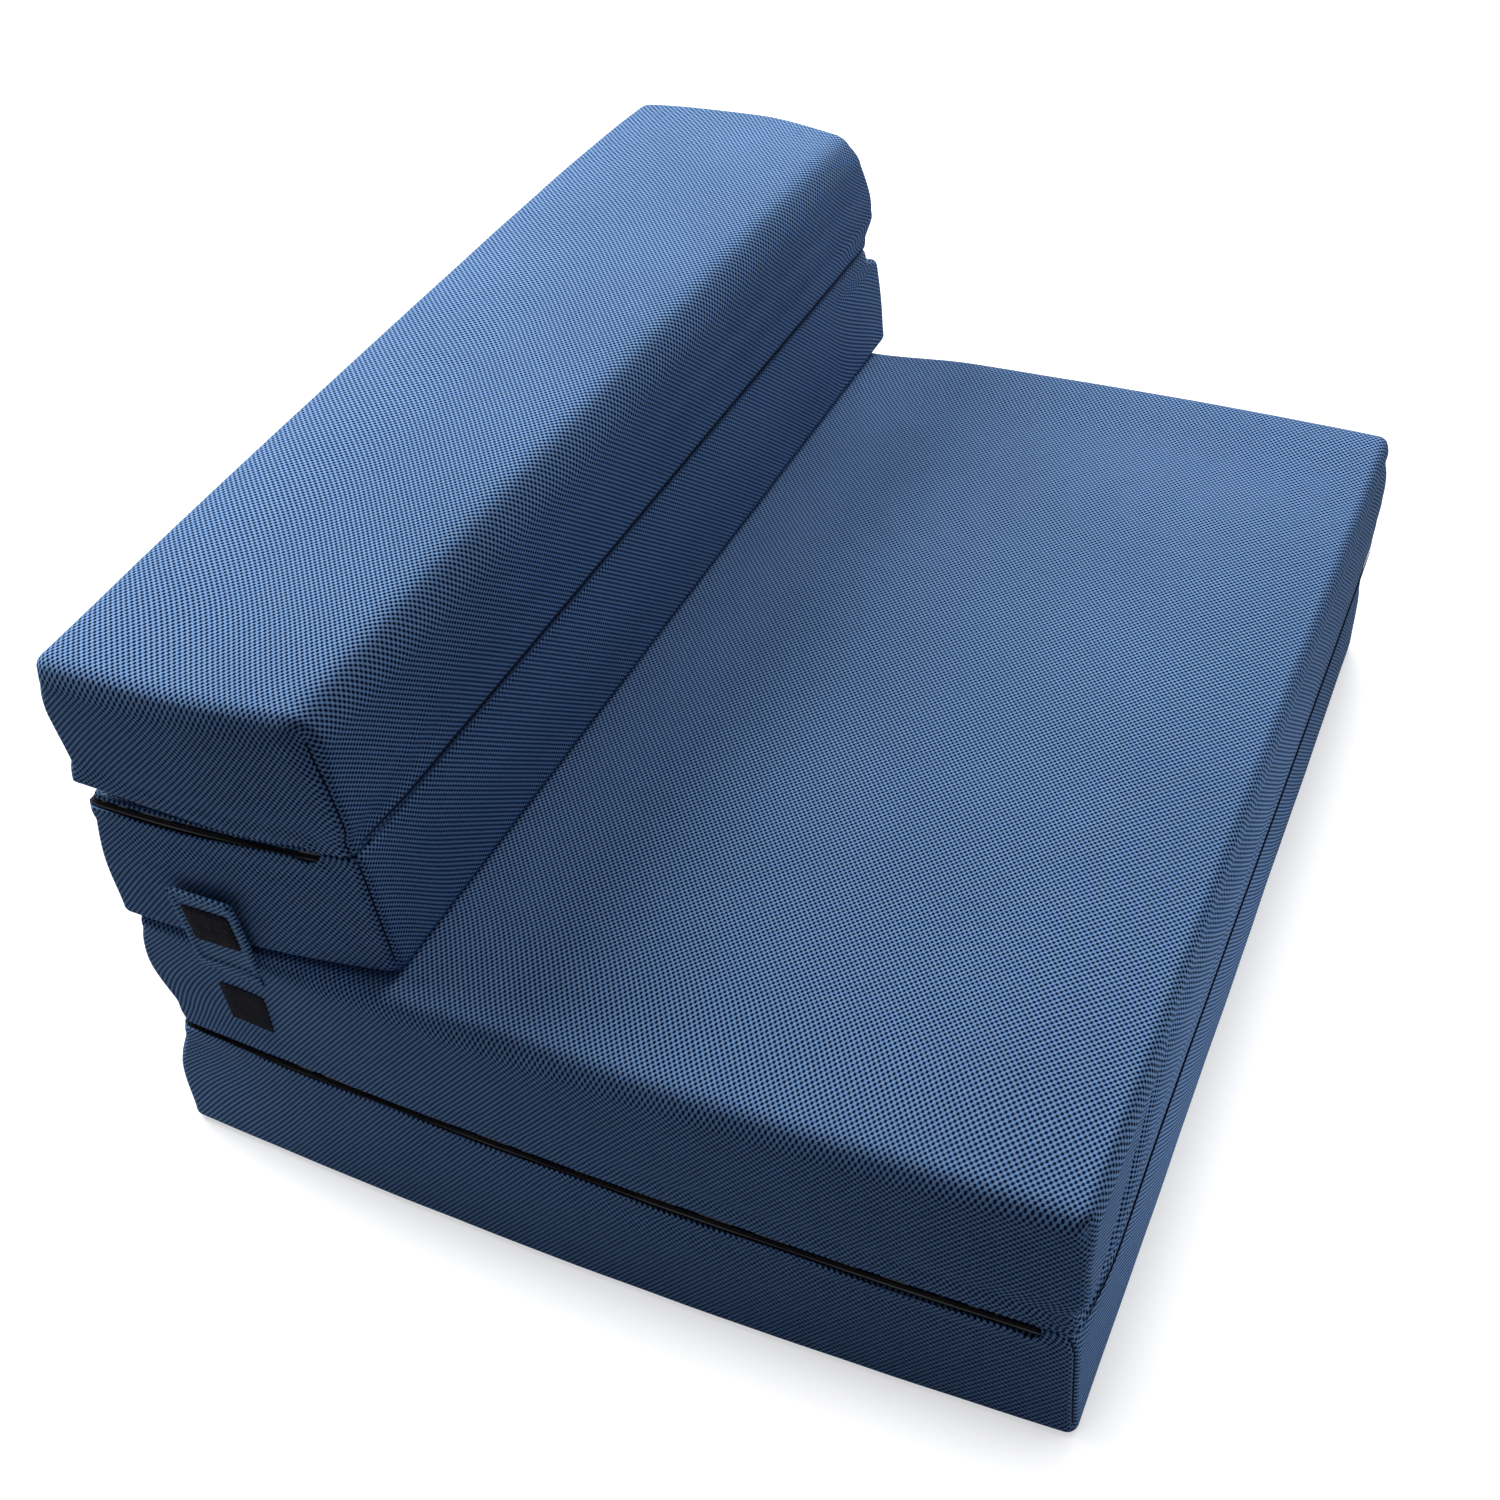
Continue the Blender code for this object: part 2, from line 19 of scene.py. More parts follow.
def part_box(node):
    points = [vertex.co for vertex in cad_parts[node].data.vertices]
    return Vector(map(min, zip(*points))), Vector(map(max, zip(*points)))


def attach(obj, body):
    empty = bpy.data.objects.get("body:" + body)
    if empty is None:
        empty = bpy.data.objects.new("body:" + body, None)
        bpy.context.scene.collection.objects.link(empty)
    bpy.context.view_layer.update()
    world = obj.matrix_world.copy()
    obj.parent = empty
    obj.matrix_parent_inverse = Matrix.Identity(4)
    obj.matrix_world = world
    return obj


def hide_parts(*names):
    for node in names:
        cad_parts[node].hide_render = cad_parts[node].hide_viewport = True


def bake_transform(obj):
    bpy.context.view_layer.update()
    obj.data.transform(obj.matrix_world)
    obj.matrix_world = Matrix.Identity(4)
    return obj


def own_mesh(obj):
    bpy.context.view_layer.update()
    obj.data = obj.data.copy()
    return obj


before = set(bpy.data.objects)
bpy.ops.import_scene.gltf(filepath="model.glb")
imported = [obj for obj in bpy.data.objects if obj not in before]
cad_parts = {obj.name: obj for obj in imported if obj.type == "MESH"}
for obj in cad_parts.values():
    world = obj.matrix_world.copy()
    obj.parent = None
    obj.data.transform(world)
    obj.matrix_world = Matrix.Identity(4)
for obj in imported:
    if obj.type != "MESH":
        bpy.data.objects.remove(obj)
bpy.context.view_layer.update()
MM = 0.001

# %% [markdown]
# ## The camera
#
# The picture was taken from above the near front corner. A pinhole camera fitted to the
# corners of the stack gives its place and turn. They are written here as a place and three
# angles, so that a reader can change one without undoing the others.

# %% Camera
CAMERA_PLACE = (-1.2358, -0.5586, 1.3148)
CAMERA_AZIMUTH = math.radians(-62.53)
CAMERA_ELEVATION = math.radians(40.99)
CAMERA_ROLL = math.radians(-4.69)
LENS = 47.52 * MM
SENSOR = 36 * MM


def camera_turn(azimuth, elevation, roll):
    """Down by the elevation, turned about +Z, then rolled about the camera's own view."""
    tilt = Matrix.Rotation(math.pi / 2 - elevation, 4, "X")
    return Matrix.Rotation(azimuth, 4, "Z") @ tilt @ Matrix.Rotation(roll, 4, "Z")


lens = bpy.data.cameras.new("studio_camera")
lens.sensor_width = SENSOR / MM
lens.lens = LENS / MM
camera = bpy.data.objects.new("studio_camera", lens)
bpy.context.scene.collection.objects.link(camera)
turn = camera_turn(CAMERA_AZIMUTH, CAMERA_ELEVATION, CAMERA_ROLL)
camera.matrix_world = Matrix.Translation(CAMERA_PLACE) @ turn
bpy.context.scene.camera = camera
bpy.context.scene.view_settings.view_transform = "Standard"
print("camera:", CAMERA_PLACE, "with a lens of", round(lens.lens, 1), "mm")

# %% [markdown]
# ## Shader maths that reads like maths
#
# A weave is a formula. One small class wraps a socket, so that `1 - mask` or `a * b` adds the
# Math node that it means. The finishes below then read like the sums that they are.


# %% Wires
class Wire:
    """A number on its way through a material. Sums on it add Math nodes."""

    def __init__(self, nodes, socket):
        self.nodes = nodes
        self.socket = socket

    def math(self, operation, *values):
        return self.nodes.add("ShaderNodeMath", {"operation": operation}, dict(enumerate(values)))

    def __add__(self, other):
        return self.math("ADD", self, other)

    def __radd__(self, other):
        return self.math("ADD", other, self)

    def __sub__(self, other):
        return self.math("SUBTRACT", self, other)

    def __rsub__(self, other):
        return self.math("SUBTRACT", other, self)

    def __mul__(self, other):
        return self.math("MULTIPLY", self, other)

    def __rmul__(self, other):
        return self.math("MULTIPLY", other, self)

    def cosine(self):
        return self.math("COSINE", self)

    def most(self, other):
        """The larger of two numbers."""
        return self.math("MAXIMUM", self, other)

    def ramp(self, low, high):
        """0 below low, 1 above high, eased between."""
        settings = {"interpolation_type": "SMOOTHSTEP"}
        inputs = {"Value": self, "From Min": low, "From Max": high}
        return self.nodes.add("ShaderNodeMapRange", settings, inputs)


# %% [markdown]
# ## Nodes and finishes
#
# Any other node comes from one method, which takes its type, its settings, and the values or
# links of its sockets. A finish is a material with one Principled shader. What is the same
# all over a surface is set on the shader itself, and only what changes is linked to it.

# %% Nodes
FABRIC_MAP = "Fabric"


class Nodes:
    """A node tree, and the nodes that the finishes add to it."""

    def __init__(self, tree):
        self.tree = tree

    def add(self, kind, settings=None, inputs=None, output=0):
        node = self.tree.nodes.new(kind)
        for name, value in (settings or {}).items():
            setattr(node, name, value)
        for name, value in (inputs or {}).items():
            self.feed(node.inputs[name], value)
        return Wire(self, node.outputs[output])

    def feed(self, socket, value):
        if isinstance(value, Wire):
            self.tree.links.new(value.socket, socket)
        else:
            socket.default_value = value

    def mixed(self, share, first, second):
        """A colour from first to second, by share."""
        inputs = {0: share, 6: first, 7: second}
        return self.add("ShaderNodeMix", {"data_type": "RGBA"}, inputs, output=2)

    def place(self):
        """A place in the piece's own space, in metres."""
        return self.add("ShaderNodeTexCoord", output=3)

    def noise(self, scale, detail=2.0):
        """Clouds about 0.5 high, one in each 1 / scale metres."""
        inputs = {"Vector": self.place(), "Scale": scale, "Detail": detail}
        return self.add("ShaderNodeTexNoise", {}, inputs)

    def cells(self, scale, randomness=1.0):
        """The distance to the nearest of scattered points, one in each 1 / scale metres."""
        inputs = {"Vector": self.place(), "Scale": scale, "Randomness": randomness}
        return self.add("ShaderNodeTexVoronoi", {}, inputs)

    def fabric_place(self):
        """The two lengths along the cloth, in metres, from the piece's own map."""
        place = self.add("ShaderNodeUVMap", {"uv_map": FABRIC_MAP})
        across = self.add("ShaderNodeSeparateXYZ", {}, {0: place}, output=0)
        along = self.add("ShaderNodeSeparateXYZ", {}, {0: place}, output=1)
        return across, along


class Finish(Nodes):
    """A material with one Principled shader."""

    def __init__(self, name, **sockets):
        self.material = bpy.data.materials.new(name)
        self.material.use_nodes = True
        super().__init__(self.material.node_tree)
        self.paint(**sockets)

    def paint(self, **sockets):
        """Feed the shader's sockets, with _ for each space of a socket's name."""
        shader = self.tree.nodes["Principled BSDF"]
        for name, value in sockets.items():
            self.feed(shader.inputs[name.replace("_", " ")], value)

    def bump(self, height, depth, strength):
        """Shade the surface as if it rose by height times depth."""
        inputs = {"Height": height, "Distance": depth, "Strength": strength}
        self.paint(Normal=self.add("ShaderNodeBump", {}, inputs))


def srgb(red, green, blue):
    """A colour written as 0 to 255 on screen, as the linear values that shaders take."""
    share = np.array([red, green, blue]) / 255
    linear = np.where(share <= 0.04045, share / 12.92, ((share + 0.055) / 1.055) ** 2.4)
    return (*linear, 1.0)


# %% [markdown]
# ## The open mesh
#
# Air mesh is knitted with rows of small oval holes, each row set half a step against the
# next. The product of two cosines has exactly those peaks: cos(p) cos(q) is 1 at every hole
# and -1 where the knit is thickest. The holes are painted a near-black blue, as painted shade in
# their depth. A little noise bends the rows, as hands and sewing do. The threads mix a lit and a
# shaded copy of their colour: painted shade towards the holes, and a painted highlight along
# one diagonal of the knit.

# %% Mesh finish
HOLE_STEP_ACROSS = 5.35 * MM
HOLE_STEP_ALONG = 4.5 * MM
HOLE_EDGE = (-0.04, 0.36)
HOLE_DEPTH = 0.4 * MM
ROW_DRIFT = 0.35 * MM
DRIFT_SCALE = 14.0
YARN_SCALE = 420.0
CLOUD_SCALE = 5.0
# Painted shade on the threads towards the holes, and a painted highlight along one diagonal
KNIT_PAINTED_SHADE = 0.3
DIAGONAL_HIGHLIGHT = 0.14
YARN_SHADE = 0.5
CLOUD_TONE = 0.1
# Near-black blue painted into the holes: painted shade in their depth
HOLE_SHADE = srgb(6, 18, 48)
FUZZ = srgb(170, 205, 255)


def air_mesh(name, strand, shade):
    """Knitted mesh: oval holes painted dark as shade, on a centred lattice, with a painted
    highlight along one diagonal.

    The knit is cos(p) cos(q), p and q being turns across and along the cloth. A thread's
    painted light is a half, less shares of the knit and of cos(p + q), plus the yarn's own noise;
    it mixes the shaded copy of the thread's colour with the lit one.
    """
    finish = Finish(name, Roughness=0.85, Specular_IOR_Level=0.03, Sheen_Weight=0.05,
                    Sheen_Roughness=0.45, Sheen_Tint=FUZZ)
    across, along = finish.fabric_place()
    drift = (finish.noise(DRIFT_SCALE) - 0.5) * (2 * ROW_DRIFT)
    turn_across = (across + drift) * (2 * math.pi / HOLE_STEP_ACROSS)
    turn_along = (along - drift) * (2 * math.pi / HOLE_STEP_ALONG)
    knit = turn_across.cosine() * turn_along.cosine()
    open_hole = knit.ramp(*HOLE_EDGE)
    diagonal = (turn_across + turn_along).cosine()
    yarn = (finish.noise(YARN_SCALE) - 0.5) * YARN_SHADE
    # Painted light on the threads: lighter where the knit is thickest, darker towards the holes,
    # and a painted highlight along one diagonal
    painted_light = 0.5 - knit * KNIT_PAINTED_SHADE - diagonal * DIAGONAL_HIGHLIGHT + yarn
    thread = finish.mixed(painted_light.ramp(0.0, 1.0), shade, strand)
    cloudy = finish.noise(CLOUD_SCALE, 4.0).ramp(0.3, 0.7)
    value = (1 - CLOUD_TONE / 2) + CLOUD_TONE * cloudy
    tone = finish.add("ShaderNodeHueSaturation", {}, {"Color": thread, "Value": value})
    # The holes get the near-black blue: painted shade
    finish.paint(Base_Color=finish.mixed(open_hole, tone, HOLE_SHADE))
    finish.bump(1 - open_hole, HOLE_DEPTH, 0.5)
    return finish.material


# strand is the lit thread colour and shade a darker copy of it, mixed by the painted light
cover_mesh = air_mesh("blue_air_mesh", strand=srgb(136, 172, 218), shade=srgb(60, 103, 160))
tab_mesh = air_mesh("tab_mesh", strand=srgb(146, 184, 228), shade=srgb(74, 118, 172))
print("mesh:", round(HOLE_STEP_ACROSS / MM, 2), "by", round(HOLE_STEP_ALONG / MM, 2), "mm a hole")

# %% [markdown]
# ## Zip finishes
#
# Zip tape is a dense twill, whose slanted ribs are the cosine of the sum of both lengths
# along it. Coils and sliders are satin black. Both are rubbed a little lighter in patches,
# which noise gives without any picture.

# %% Twill and satin
WEAR_SCALE = 60.0
RUB_SCALE = 180.0
RIB_STEP = 0.9 * MM
RIB_DEPTH = 0.15 * MM
RUB_DEPTH = 0.05 * MM
BLACK_TAPE = srgb(15, 15, 20)
WORN_TAPE = srgb(34, 33, 40)
SATIN = srgb(15, 15, 19)
RUBBED_SATIN = srgb(44, 43, 50)


def zip_cloth():
    """Blue-black twill: fine slanted ribs along the tape."""
    finish = Finish("zip_twill", Roughness=0.8, Specular_IOR_Level=0.06)
    across, along = finish.fabric_place()
    rib = ((across + along) * (2 * math.pi / RIB_STEP)).cosine()
    worn = finish.noise(WEAR_SCALE, 4.0)
    finish.paint(Base_Color=finish.mixed(worn.ramp(0.35, 0.75), BLACK_TAPE, WORN_TAPE))
    finish.bump(rib * 0.5 + worn * 0.5, RIB_DEPTH, 0.6)
    return finish.material


def satin_black(name, metallic, rough):
    """A dark moulded or painted surface, rubbed a little lighter in patches."""
    finish = Finish(name, Metallic=metallic, Specular_IOR_Level=0.3)
    rubbed = finish.noise(RUB_SCALE, 5.0)
    colour = finish.mixed(rubbed.ramp(0.4, 0.8), SATIN, RUBBED_SATIN)
    finish.paint(Base_Color=colour, Roughness=rough + rubbed * 0.2)
    finish.bump(rubbed, RUB_DEPTH, 0.4)
    return finish.material


tape_twill = zip_cloth()
coil_nylon = satin_black("coil_nylon", metallic=0.0, rough=0.35)
slider_paint = satin_black("slider_paint", metallic=0.6, rough=0.3)
print("zip:", tape_twill.name + ",", coil_nylon.name, "and", slider_paint.name)

# %% [markdown]
# ## Pile, foam and thread
#
# Hook and loop patches are a dense pile, matted in places. Foam is open cells. Both are
# scattered points, dark or light by the distance to the nearest one: the tufts get a painted
# highlight with painted shade between them, and the foam painted shade in its pores. Sewing
# thread is only uneven along its twist, and its dark colour is also painted shade in the seam
# grooves and under the front fold's lip.

# %% Pile, foam and thread finishes
TUFT_DEPTH = 0.4 * MM
PORE_DEPTH = 0.5 * MM
TWIST_DEPTH = 0.1 * MM
PORE_SCALE = 600.0
BLOTCH_SCALE = 12.0
TWIST_SCALE = 900.0
# Darker foam colour painted into each pore: painted shade in its hollow
PORE_SHADE = srgb(196, 184, 150)
FOAM = srgb(240, 232, 205)
AGED_FOAM = srgb(232, 214, 168)
# Dark blue of the seam rolls: seam thread, and painted shade in the seam grooves and under the
# front fold's lip
THREAD_AND_SHADE = srgb(16, 24, 48)
THREAD_SHADE = srgb(9, 12, 24)


def pile(name, spacing, dark, light):
    """Hook or loop pile: tufts with a painted highlight at their middles and painted shade between
    them, dark where they are matted.
    """
    finish = Finish(name, Roughness=0.9, Specular_IOR_Level=0.05)
    tuft = finish.cells(1 / spacing, 0.8)
    # Light at each tuft's middle and dark between tufts: painted highlight and painted shade
    colour = finish.mixed(tuft.ramp(0.1, 0.8), light, dark)
    matted = finish.noise(YARN_SCALE, 3.0).ramp(0.4, 0.62)
    finish.paint(Base_Color=finish.mixed(matted, dark, colour))
    finish.bump(1 - tuft, TUFT_DEPTH, 0.8)
    return finish.material


def foam_cells():
    """Pale open-cell foam with painted shade in its pores, yellowed in blotches."""
    finish = Finish("pale_foam", Roughness=0.95, Specular_IOR_Level=0.1)
    pores = finish.cells(PORE_SCALE)
    # Each pore's middle is painted darker: painted shade
    colour = finish.mixed(pores.ramp(0.0, 0.6), PORE_SHADE, FOAM)
    blotch = finish.noise(BLOTCH_SCALE, 3.0).ramp(0.3, 0.9)
    finish.paint(Base_Color=finish.mixed(blotch, colour, AGED_FOAM))
    finish.bump(pores, PORE_DEPTH, 0.6)
    return finish.material


def thread_and_shade_finish():
    """A plain dark thread with a slight twist along it. Its colour is also painted shade in the
    seam grooves and under the front fold's lip.
    """
    finish = Finish("seam_thread_and_shade", Roughness=0.8, Specular_IOR_Level=0.05)
    twist = finish.noise(TWIST_SCALE)
    finish.paint(Base_Color=finish.mixed(twist.ramp(0.3, 0.8), THREAD_AND_SHADE, THREAD_SHADE))
    finish.bump(twist, TWIST_DEPTH, 0.5)
    return finish.material


hook_pile = pile("hook_pile", 1.1 * MM, dark=srgb(14, 14, 20), light=srgb(66, 64, 74))
loop_pile = pile("loop_pile", 0.8 * MM, dark=srgb(24, 24, 31), light=srgb(62, 62, 70))
foam_finish = foam_cells()
seam_thread_and_shade = thread_and_shade_finish()
print("finishes:", len(bpy.data.materials), "materials with the packed ones")

# %% [markdown]
# ## Grids into meshes
#
# Every new piece is one or more grids of points. A grid becomes squares, the grids that share
# an edge are merged there, and the faces are turned outwards. The lengths along the cloth go
# into a map of their own, in metres, so that the weave keeps its size and follows the sewing.

# %% Mesh helpers
MERGE_DISTANCE = 0.01 * MM


def grid_squares(rows, columns, first):
    """Corner numbers of each square of a grid whose points start at number first."""
    index = first + np.arange(rows * columns).reshape(rows, columns)
    corners = [index[:-1, :-1], index[:-1, 1:], index[1:, 1:], index[1:, :-1]]
    return np.stack(corners, -1).reshape(-1, 4)


def sewn(name, patches, material, body=None):
    """One object from patches, each (points, fabric lengths) on a grid, merged where they meet."""
    points, lengths, squares, first = [], [], [], 0
    for places, fabric in patches:
        rows, columns = places.shape[:2]
        points.append(places.reshape(-1, 3))
        lengths.append(fabric.reshape(-1, 2))
        squares.append(grid_squares(rows, columns, first))
        first += rows * columns
    points, lengths = np.concatenate(points), np.concatenate(lengths)
    squares = np.concatenate(squares)
    mesh = bpy.data.meshes.new(name)
    mesh.from_pydata(points, [], squares)
    fabric_map = mesh.uv_layers.new(name=FABRIC_MAP)
    fabric_map.data.foreach_set("uv", lengths[squares.ravel()].astype(np.float32).ravel())
    work = bmesh.new()
    work.from_mesh(mesh)
    bmesh.ops.remove_doubles(work, verts=work.verts, dist=MERGE_DISTANCE)
    bmesh.ops.recalc_face_normals(work, faces=work.faces)
    work.to_mesh(mesh)
    work.free()
    mesh.shade_smooth()
    mesh.materials.append(material)
    piece = bpy.data.objects.new(name, mesh)
    bpy.context.scene.collection.objects.link(piece)
    if body:
        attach(piece, body)
    print(name, len(mesh.polygons), "faces")
    return piece


# %% [markdown]
# ## One rule for a stuffed cushion
#
# A cushion starts as a box and ends as a cover. Three steps turn a place on the box into a
# place on the cover. Its edges are rounded: the place is pushed out from a smaller box by the
# edge's radius. Its borders are then shifted: they bow out between the corners, tuck in
# towards the zip, and are creased where the fold squeezes them. Last, the face rises to its
# crown. Each step is one formula on whole arrays, so every piece that is sewn to the cover,
# such as a zip or a patch, can ask the same rule where the cloth is.
#
# Heights are measured from the inner face, where the base sheet and the zip are, to the outer
# face, which has no seam. The values below were fitted by the outline, because no simulation
# would press this stack into just these creases.

# %% Cushions
EDGE_RADIUS = 15 * MM
HINGE_RADIUS = 9 * MM
FLOOR_RADIUS = 9 * MM
FLAP = 2.2 * MM


class Cushion:
    """One cushion of the stack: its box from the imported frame, and how its cover is shaped.

    Values are in metres, but for the hem and the four sides, which are in millimetres:
    edge_radius, front_radius, rear_radius - of the outer edge at the ends, front and rear
    crown, curl - rise of the outer face, and of the inner one at the near rear corner
    bow, near_bulge, far_bulge - how far the ends stand out, at mid-depth and mid-height
    near, far, front, rear - how far each side's corners stand out: at its front or near end
        by the inner and the outer face, then at its other end. far_run spreads far's change
    notch - how deep the fold draws the front in, and up to what height
    front_belly - how far the front stands out, at what height, and its reach down and up
    creases - height, depth and width of each crease in the front
    rear_bulge - how far the rear stands out, at what share of the height, and what is left
        of that at the near corner. tuck_reach - up to what height the rear is drawn in
    near_zip_start, far_zip_start - where the zip starts, from the front
    near_hem - height of the near end's hem, at its front and rear
    pinch, held - dents below the top of the corners, and behind the loop patch
    pressed - whether the backrest lies on it. front_seams - 1 with seams up its front
    """

    pinch, crown, curl, held = 0, 0, 0, 0
    pressed, front_seams, creases = False, 1, ()

    def __init__(self, name, **shape):
        cover_low, cover_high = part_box(name + "_cover")
        sheet_low, sheet_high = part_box(name + "_base_sheet")
        outer_up = name.endswith("upper")
        self.half_width = sheet_high.x
        self.half_depth = (cover_high.y - cover_low.y) / 2
        self.middle = (cover_high.y + cover_low.y) / 2
        self.out = 1 if outer_up else -1
        self.inner_z = sheet_low.z if outer_up else sheet_high.z
        self.layer = abs((cover_high.z if outer_up else cover_low.z) - self.inner_z)
        self.flap = FLAP
        for key, value in shape.items():
            setattr(self, key, value)
        self.bare = copy.copy(self)
        self.bare.flap = 0


# %% [markdown]
# ## Four shapes
#
# The two seat cushions share the bow of their long ends, and the two backrest cushions their
# small notch. The rest differs: the lowest lies flat on the floor, the next carries the
# backrest and gets the deepest creases, and only the topmost curls up at a corner.

# %% Shapes
SEAT_SHAPE = dict(
    bow=8 * MM, near_bulge=4 * MM, far_bulge=10 * MM, far_run=2.0, tuck_reach=75 * MM,
    near_zip_start=19 * MM, far_zip_start=13 * MM,
)
BACK_SHAPE = dict(
    bow=4 * MM, near_bulge=4 * MM, far_bulge=6 * MM, far_run=1.0, tuck_reach=24 * MM,
    near_zip_start=28 * MM, far_zip_start=28 * MM, notch=(2.2 * MM, 7 * MM),
    front_belly=(2 * MM, 60 * MM, 35 * MM, 35 * MM),
)
SHAPES = {
    "seat_lower": dict(
        SEAT_SHAPE, seed=11, near_hem=(11, 6), notch=(7 * MM, 12 * MM),
        edge_radius=FLOOR_RADIUS, front_radius=FLOOR_RADIUS, rear_radius=FLOOR_RADIUS,
        front_belly=(3 * MM, 55 * MM, 35 * MM, 45 * MM), rear_bulge=(10 * MM, 0.5, 7 * MM),
        creases=((36 * MM, 0.8 * MM, 8 * MM),),
        near=(12, 14, 0, 9), far=(-15, -1, 0, 3), front=(3, 9.5, 2, 2), rear=(-10, 9, -4, 5),
    ),
    "seat_upper": dict(
        SEAT_SHAPE, seed=12, near_hem=(4, 3), notch=(7 * MM, 6 * MM), crown=12 * MM,
        edge_radius=EDGE_RADIUS, front_radius=12 * MM, rear_radius=HINGE_RADIUS,
        front_belly=(4 * MM, 62 * MM, 30 * MM, 30 * MM), rear_bulge=(13 * MM, 0.55, 8 * MM),
        creases=((30 * MM, 1.5 * MM, 4 * MM), (56 * MM, 1.5 * MM, 5 * MM),
                 (103 * MM, 3.6 * MM, 9 * MM)),
        near=(12, 9, 0, 5), far=(7, 13, 0, 6), front=(8, 9, 6, 7), rear=(-12, -3, -6, 0),
        front_seams=0, pinch=2.5 * MM, held=5 * MM, pressed=True,
    ),
    "back_lower": dict(
        BACK_SHAPE, seed=13, near_hem=(6, 10), rear_bulge=(8 * MM, 0.5, 6 * MM),
        edge_radius=10 * MM, front_radius=10 * MM, rear_radius=HINGE_RADIUS,
        near=(-9, -15, 3, 7), far=(24, 34, 0, 6), front=(0, 8, 0, 6), rear=(0, 5, 2, 2),
    ),
    "back_upper": dict(
        BACK_SHAPE, seed=14, near_hem=(7, 4), rear_bulge=(15 * MM, 0.68, 3 * MM),
        crown=13 * MM, curl=15 * MM, pinch=3 * MM,
        edge_radius=EDGE_RADIUS, front_radius=24 * MM, rear_radius=14 * MM,
        creases=((34 * MM, 1.5 * MM, 9 * MM), (72 * MM, 1.2 * MM, 8 * MM)),
        near=(-9, 1, 7, 8), far=(32, -16, 0, 0), front=(0, -5, 0, 3), rear=(5, 7.5, 4, 17),
    ),
}
cushions = {name: Cushion(name, **shape) for name, shape in SHAPES.items()}
pieces = {name: [] for name in cushions}
for name, cushion in cushions.items():
    print(name, "is", round(cushion.layer / MM, 1), "mm high inside its seams")

# %% [markdown]
# ## Soft unevenness
#
# Stuffed cloth is never quite even. A sum of a few long sine waves, in directions drawn from
# a fixed seed, is the same at every run, and all pieces of a cushion share it.

# %% Unevenness
WAVES = 6
WAVE_LENGTHS = (60 * MM, 190 * MM)


def smooth(value):
    """0 below 0, 1 above 1, and the cubic 3t^2 - 2t^3 between."""
    t = np.clip(value, 0, 1)
    return t * t * (3 - 2 * t)


def bell(*values):
    """exp(-v^2), which is 1 at 0 and nearly 0 from 2 on. Of several values, their product."""
    return np.exp(-sum(value**2 for value in values))


def rumple(across, along, height, seed):
    """The mean of a few sine waves, each with its own fixed direction, length and phase."""
    chance = np.random.default_rng(seed)
    total = 0
    for _ in range(WAVES):
        direction = chance.normal(size=3)
        length = chance.uniform(*WAVE_LENGTHS)
        direction *= 2 * np.pi / (length * np.linalg.norm(direction))
        phase = chance.uniform(0, 2 * np.pi)
        wave = across * direction[0] + along * direction[1] + height * direction[2]
        total = total + np.sin(wave + phase)
    return total / WAVES


# %% [markdown]
# ## The hem over the zip
#
# The border ends in a hem that hides most of its zip. Its height changes evenly from front
# to rear, waves a little, and swells where the zip starts. At the far end it is lifted, so
# that the zip lies open under its slider. The front has no zip, so there the hem closes on
# the inner face.

# %% Hem
CORNER_RADIUS = 8 * MM
ZIP_CHANNEL = 12.4 * MM
CLOSED_HEM = 1.2 * MM
HEM_EASE = 9 * MM
HEM_WAVE = 170 * MM
HEM_SWING = 0.14
FAR_TURN = 50 * MM
BULB = 3.2 * MM
BULB_PLACE = 13 * MM
BULB_REACH = 8 * MM


def past_zip_start(cushion, across, along):
    """How far behind the start of the zip a place is."""
    start = np.where(across < 0, cushion.near_zip_start, cushion.far_zip_start)
    return along + cushion.half_depth - start


def zip_share(cushion, across, along):
    """1 where the zip runs, 0 on the front and at its corners, with a round end between."""
    left = 1 - np.clip(past_zip_start(cushion, across, along) / HEM_EASE, 0, 1)
    return np.sqrt(1 - left**2)


def open_share(cushion, across):
    """1 at the far end, where the zip lies open under its slider, and 0 from there on."""
    return smooth((across - (cushion.half_width - FAR_TURN)) / (FAR_TURN - CORNER_RADIUS))


def hem_height(cushion, across, along):
    """How high the border's lower edge lies over the inner face."""
    at_front, at_rear = cushion.near_hem
    hem = MM * (at_front + (at_rear - at_front) * (1 + along / cushion.half_depth) / 2)
    hem = hem * (1 + HEM_SWING * np.sin(2 * np.pi * along / HEM_WAVE + cushion.seed))
    from_bulb = past_zip_start(cushion, across, along) - BULB_PLACE
    hem = hem + BULB * bell(from_bulb / BULB_REACH)
    hem = hem + (ZIP_CHANNEL - hem) * open_share(cushion, across)
    return CLOSED_HEM + (hem - CLOSED_HEM) * zip_share(cushion, across, along)


def flap_out(cushion, across, along):
    """How far the border stands out over the zip that it covers."""
    return cushion.flap * (1 - open_share(cushion, across)) * zip_share(cushion, across, along)


# %% [markdown]
# ## How the ends stand out
#
# Foam pushes a border out most in the middle and least at its corners, where the seams hold
# it. So an end bows out by a parabola from front to rear, and swells over the zip. The two
# ends differ, because the stack leans, so each corner also has a shift of its own.

# %% Ends
END_REACH = 100 * MM
ZIP_EASE = 16 * MM
# The loop patch, along and up the end, and how far around it the cloth is held in.
HELD_PLACE = (289 * MM, 64 * MM)
HELD_REACH = (60 * MM, 48 * MM)
BELLY_FOOT = 0.35
BELLY_HEAD = 0.65
BELLY_LOSS = 0.25


